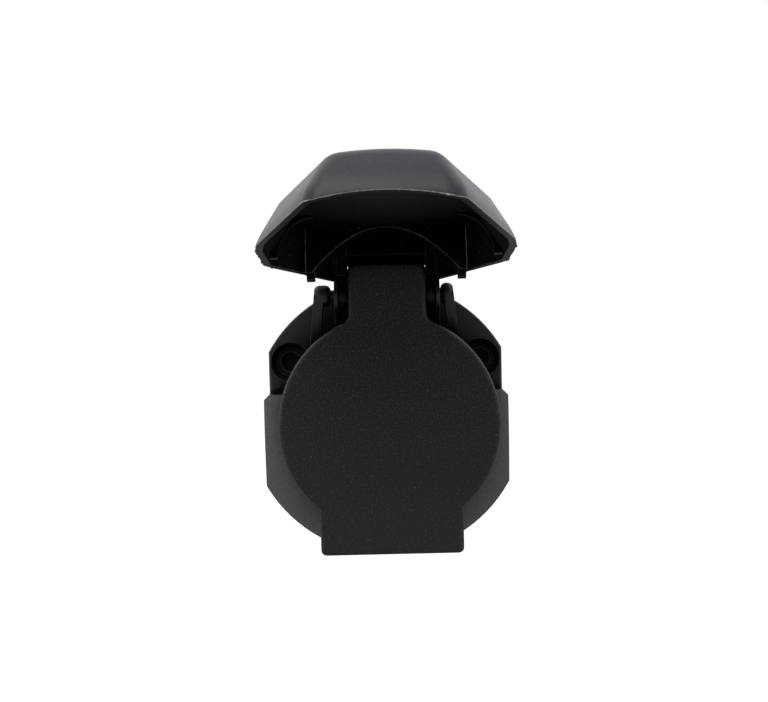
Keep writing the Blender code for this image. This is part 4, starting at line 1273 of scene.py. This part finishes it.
def rim_edge(middle, rim, wall):
    """The outer edge of the hood's rim: a face that looks down meets an outer wall."""
    outside = Vector((middle.x, middle.y + HOOD_LENGTH / 2, 0.0)).dot(wall) > 0.0
    low = middle.z < RIM_OFFSET + RIM_LIP and middle.y < -BRIDGE_FRONT - OVERCUT
    return low and rim.z < -0.8 and abs(wall.z) < 0.7 and outside


def arch_edge(middle, front, arch):
    """The front edge of the bridge's arch."""
    near = abs(middle.y + BRIDGE_FRONT) < 0.1 * MM and abs(middle.x) < ARCH_HALF_WIDTH
    return near and front.y < -0.9 and arch.z < -0.1 and middle.z > RIM_OFFSET - BRIDGE_DROP / 2


def bridge_side_edge(middle, front, side):
    """The upright front edges of the bridge, beside the pockets."""
    near = abs(middle.y + BRIDGE_FRONT) < 0.1 * MM and middle.z < RIM_OFFSET + FIN_TOP
    return near and front.y < -0.9 and abs(side.x) > 0.8 and abs(middle.x) > BRIDGE_HALF_WIDTH - OVERCUT


def trim_hood(hood):
    """Ragged flash along the hood's mould lines: base height, swing and size of the waves."""
    finish = moulded("flash_plastic", (0.03, 0.03, 0.035), (0.05, 0.05, 0.06), (0.30, 0.29, 0.33),
                     (0.45, 0.44, 0.48), grain=0.9 * MM, speckle=0.4, depth=0.02 * MM,
                     roughness=0.35, specular=0.5)
    place = hood_place()
    for name, wanted, base, swing, scale in (
            ("hood_rim_flash", rim_edge, 0.04 * MM, 0.55 * MM, 2.3 * MM),
            ("hood_arch_flash", arch_edge, 0.10 * MM, 0.12 * MM, 5.0 * MM),
            ("hood_bridge_flash", bridge_side_edge, 0.05 * MM, 0.2 * MM, 2.0 * MM)):
        flash(name, sharp_runs(hood, place, wanted), place, finish, base, swing, scale)


def place_camera():
    """The camera looks square at the lid's plane, shifted and rolled as the photograph is."""
    across = PHOTO_WIDTH / 2 - LEVEL_PIXEL[0]
    down = PHOTO_HEIGHT / 2 - LEVEL_PIXEL[1]
    c, s = math.cos(ROLL), math.sin(ROLL)
    forward = Vector((across * c - down * s, FOCAL_PIXELS, -(across * s + down * c))).normalized()
    up = Vector((s, 0.0, c))
    right = forward.cross(up).normalized()
    up = right.cross(forward)
    data = bpy.data.cameras.new("camera")
    data.sensor_width = SENSOR
    data.lens = FOCAL_PIXELS * SENSOR / PHOTO_WIDTH
    camera = link(bpy.data.objects.new("camera", data))
    lid_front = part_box("lid")[0].y
    place = Matrix((right, up, -forward)).transposed().to_4x4()
    place.translation = (CAMERA_X, lid_front - CAMERA_TO_LID, CAMERA_Z)
    camera.matrix_world = place
    bpy.context.scene.camera = camera


def white_to_camera(tree, shader, strength):
    """Add a white glow to a stage surface as the camera sees it, also through clear pieces."""
    path = node(tree, "ShaderNodeLightPath")
    seen = node(tree, "ShaderNodeMath", operation="MAXIMUM")
    wire(tree, path.outputs["Is Camera Ray"], seen.inputs[0])
    wire(tree, path.outputs["Is Transmission Ray"], seen.inputs[1])
    glow = node(tree, "ShaderNodeEmission", Strength=strength)
    both = node(tree, "ShaderNodeAddShader")
    wire(tree, shader.outputs[0], both.inputs[0])
    wire(tree, glow.outputs[0], both.inputs[1])
    mix = node(tree, "ShaderNodeMixShader")
    wire(tree, seen.outputs[0], mix.inputs[0])
    wire(tree, shader.outputs[0], mix.inputs[1])
    wire(tree, both.outputs[0], mix.inputs[2])
    return mix


def make_stage():
    made = bpy.data.materials.new("stage_white")
    made.use_nodes = True
    tree = made.node_tree
    tree.nodes.clear()
    plain = node(tree, "ShaderNodeBsdfDiffuse", Color=(STAGE_GREY, STAGE_GREY, STAGE_GREY, 1.0))
    mix = white_to_camera(tree, plain, STAGE_GLOW)
    wire(tree, mix.outputs[0], node(tree, "ShaderNodeOutputMaterial").inputs["Surface"])
    shape = bmesh.new()
    level = CAD_BOX[0].z - FLOOR_DROP
    bmesh.ops.create_grid(shape, x_segments=1, y_segments=1, size=STAGE_SIZE,
                          matrix=Matrix.Translation((0, 0, level)))
    mesh = bpy.data.meshes.new("floor")
    shape.to_mesh(mesh)
    shape.free()
    floor = link(bpy.data.objects.new("floor", mesh))
    mesh.materials.append(made)


def light_world():
    """Pale surroundings, dimmer on the camera's side and below, and plain white where they are seen."""
    world = bpy.data.worlds.new("world")
    bpy.context.scene.world = world
    world.use_nodes = True
    tree = world.node_tree
    tree.nodes.clear()
    place = node(tree, "ShaderNodeTexCoord")
    split = node(tree, "ShaderNodeSeparateXYZ")
    wire(tree, place.outputs["Generated"], split.inputs[0])
    ahead = ranged(tree, split.outputs["Y"], -0.9, 0.1, FRONT_LIGHT, SIDE_LIGHT)
    above = ranged(tree, split.outputs["Z"], -0.5, 0.3, LOW_LIGHT, 1.0)
    path = node(tree, "ShaderNodeLightPath")
    lit = node(tree, "ShaderNodeBackground")
    wire(tree, product(tree, ahead, above), lit.inputs["Strength"])
    seen = node(tree, "ShaderNodeBackground")
    mix = node(tree, "ShaderNodeMixShader")
    for background in (lit, seen):
        background.inputs["Color"].default_value = (1.0, 1.0, 1.0, 1.0)
    wire(tree, path.outputs["Is Camera Ray"], mix.inputs[0])
    wire(tree, lit.outputs[0], mix.inputs[1])
    wire(tree, seen.outputs[0], mix.inputs[2])
    wire(tree, mix.outputs[0], node(tree, "ShaderNodeOutputWorld").inputs["Surface"])


def add_lamp(name, place, power):
    data = bpy.data.lights.new(name, "AREA")
    data.energy = power
    data.size = LAMP_SIZE
    lamp = link(bpy.data.objects.new(name, data))
    lamp.location = place
    lamp.rotation_euler = (-Vector(place)).to_track_quat("-Z", "Y").to_euler()


place_camera()
make_stage()
light_world()
for lamp in LAMPS:
    add_lamp(*lamp)
make_pieces()
bpy.context.scene.view_settings.view_transform = "Standard"
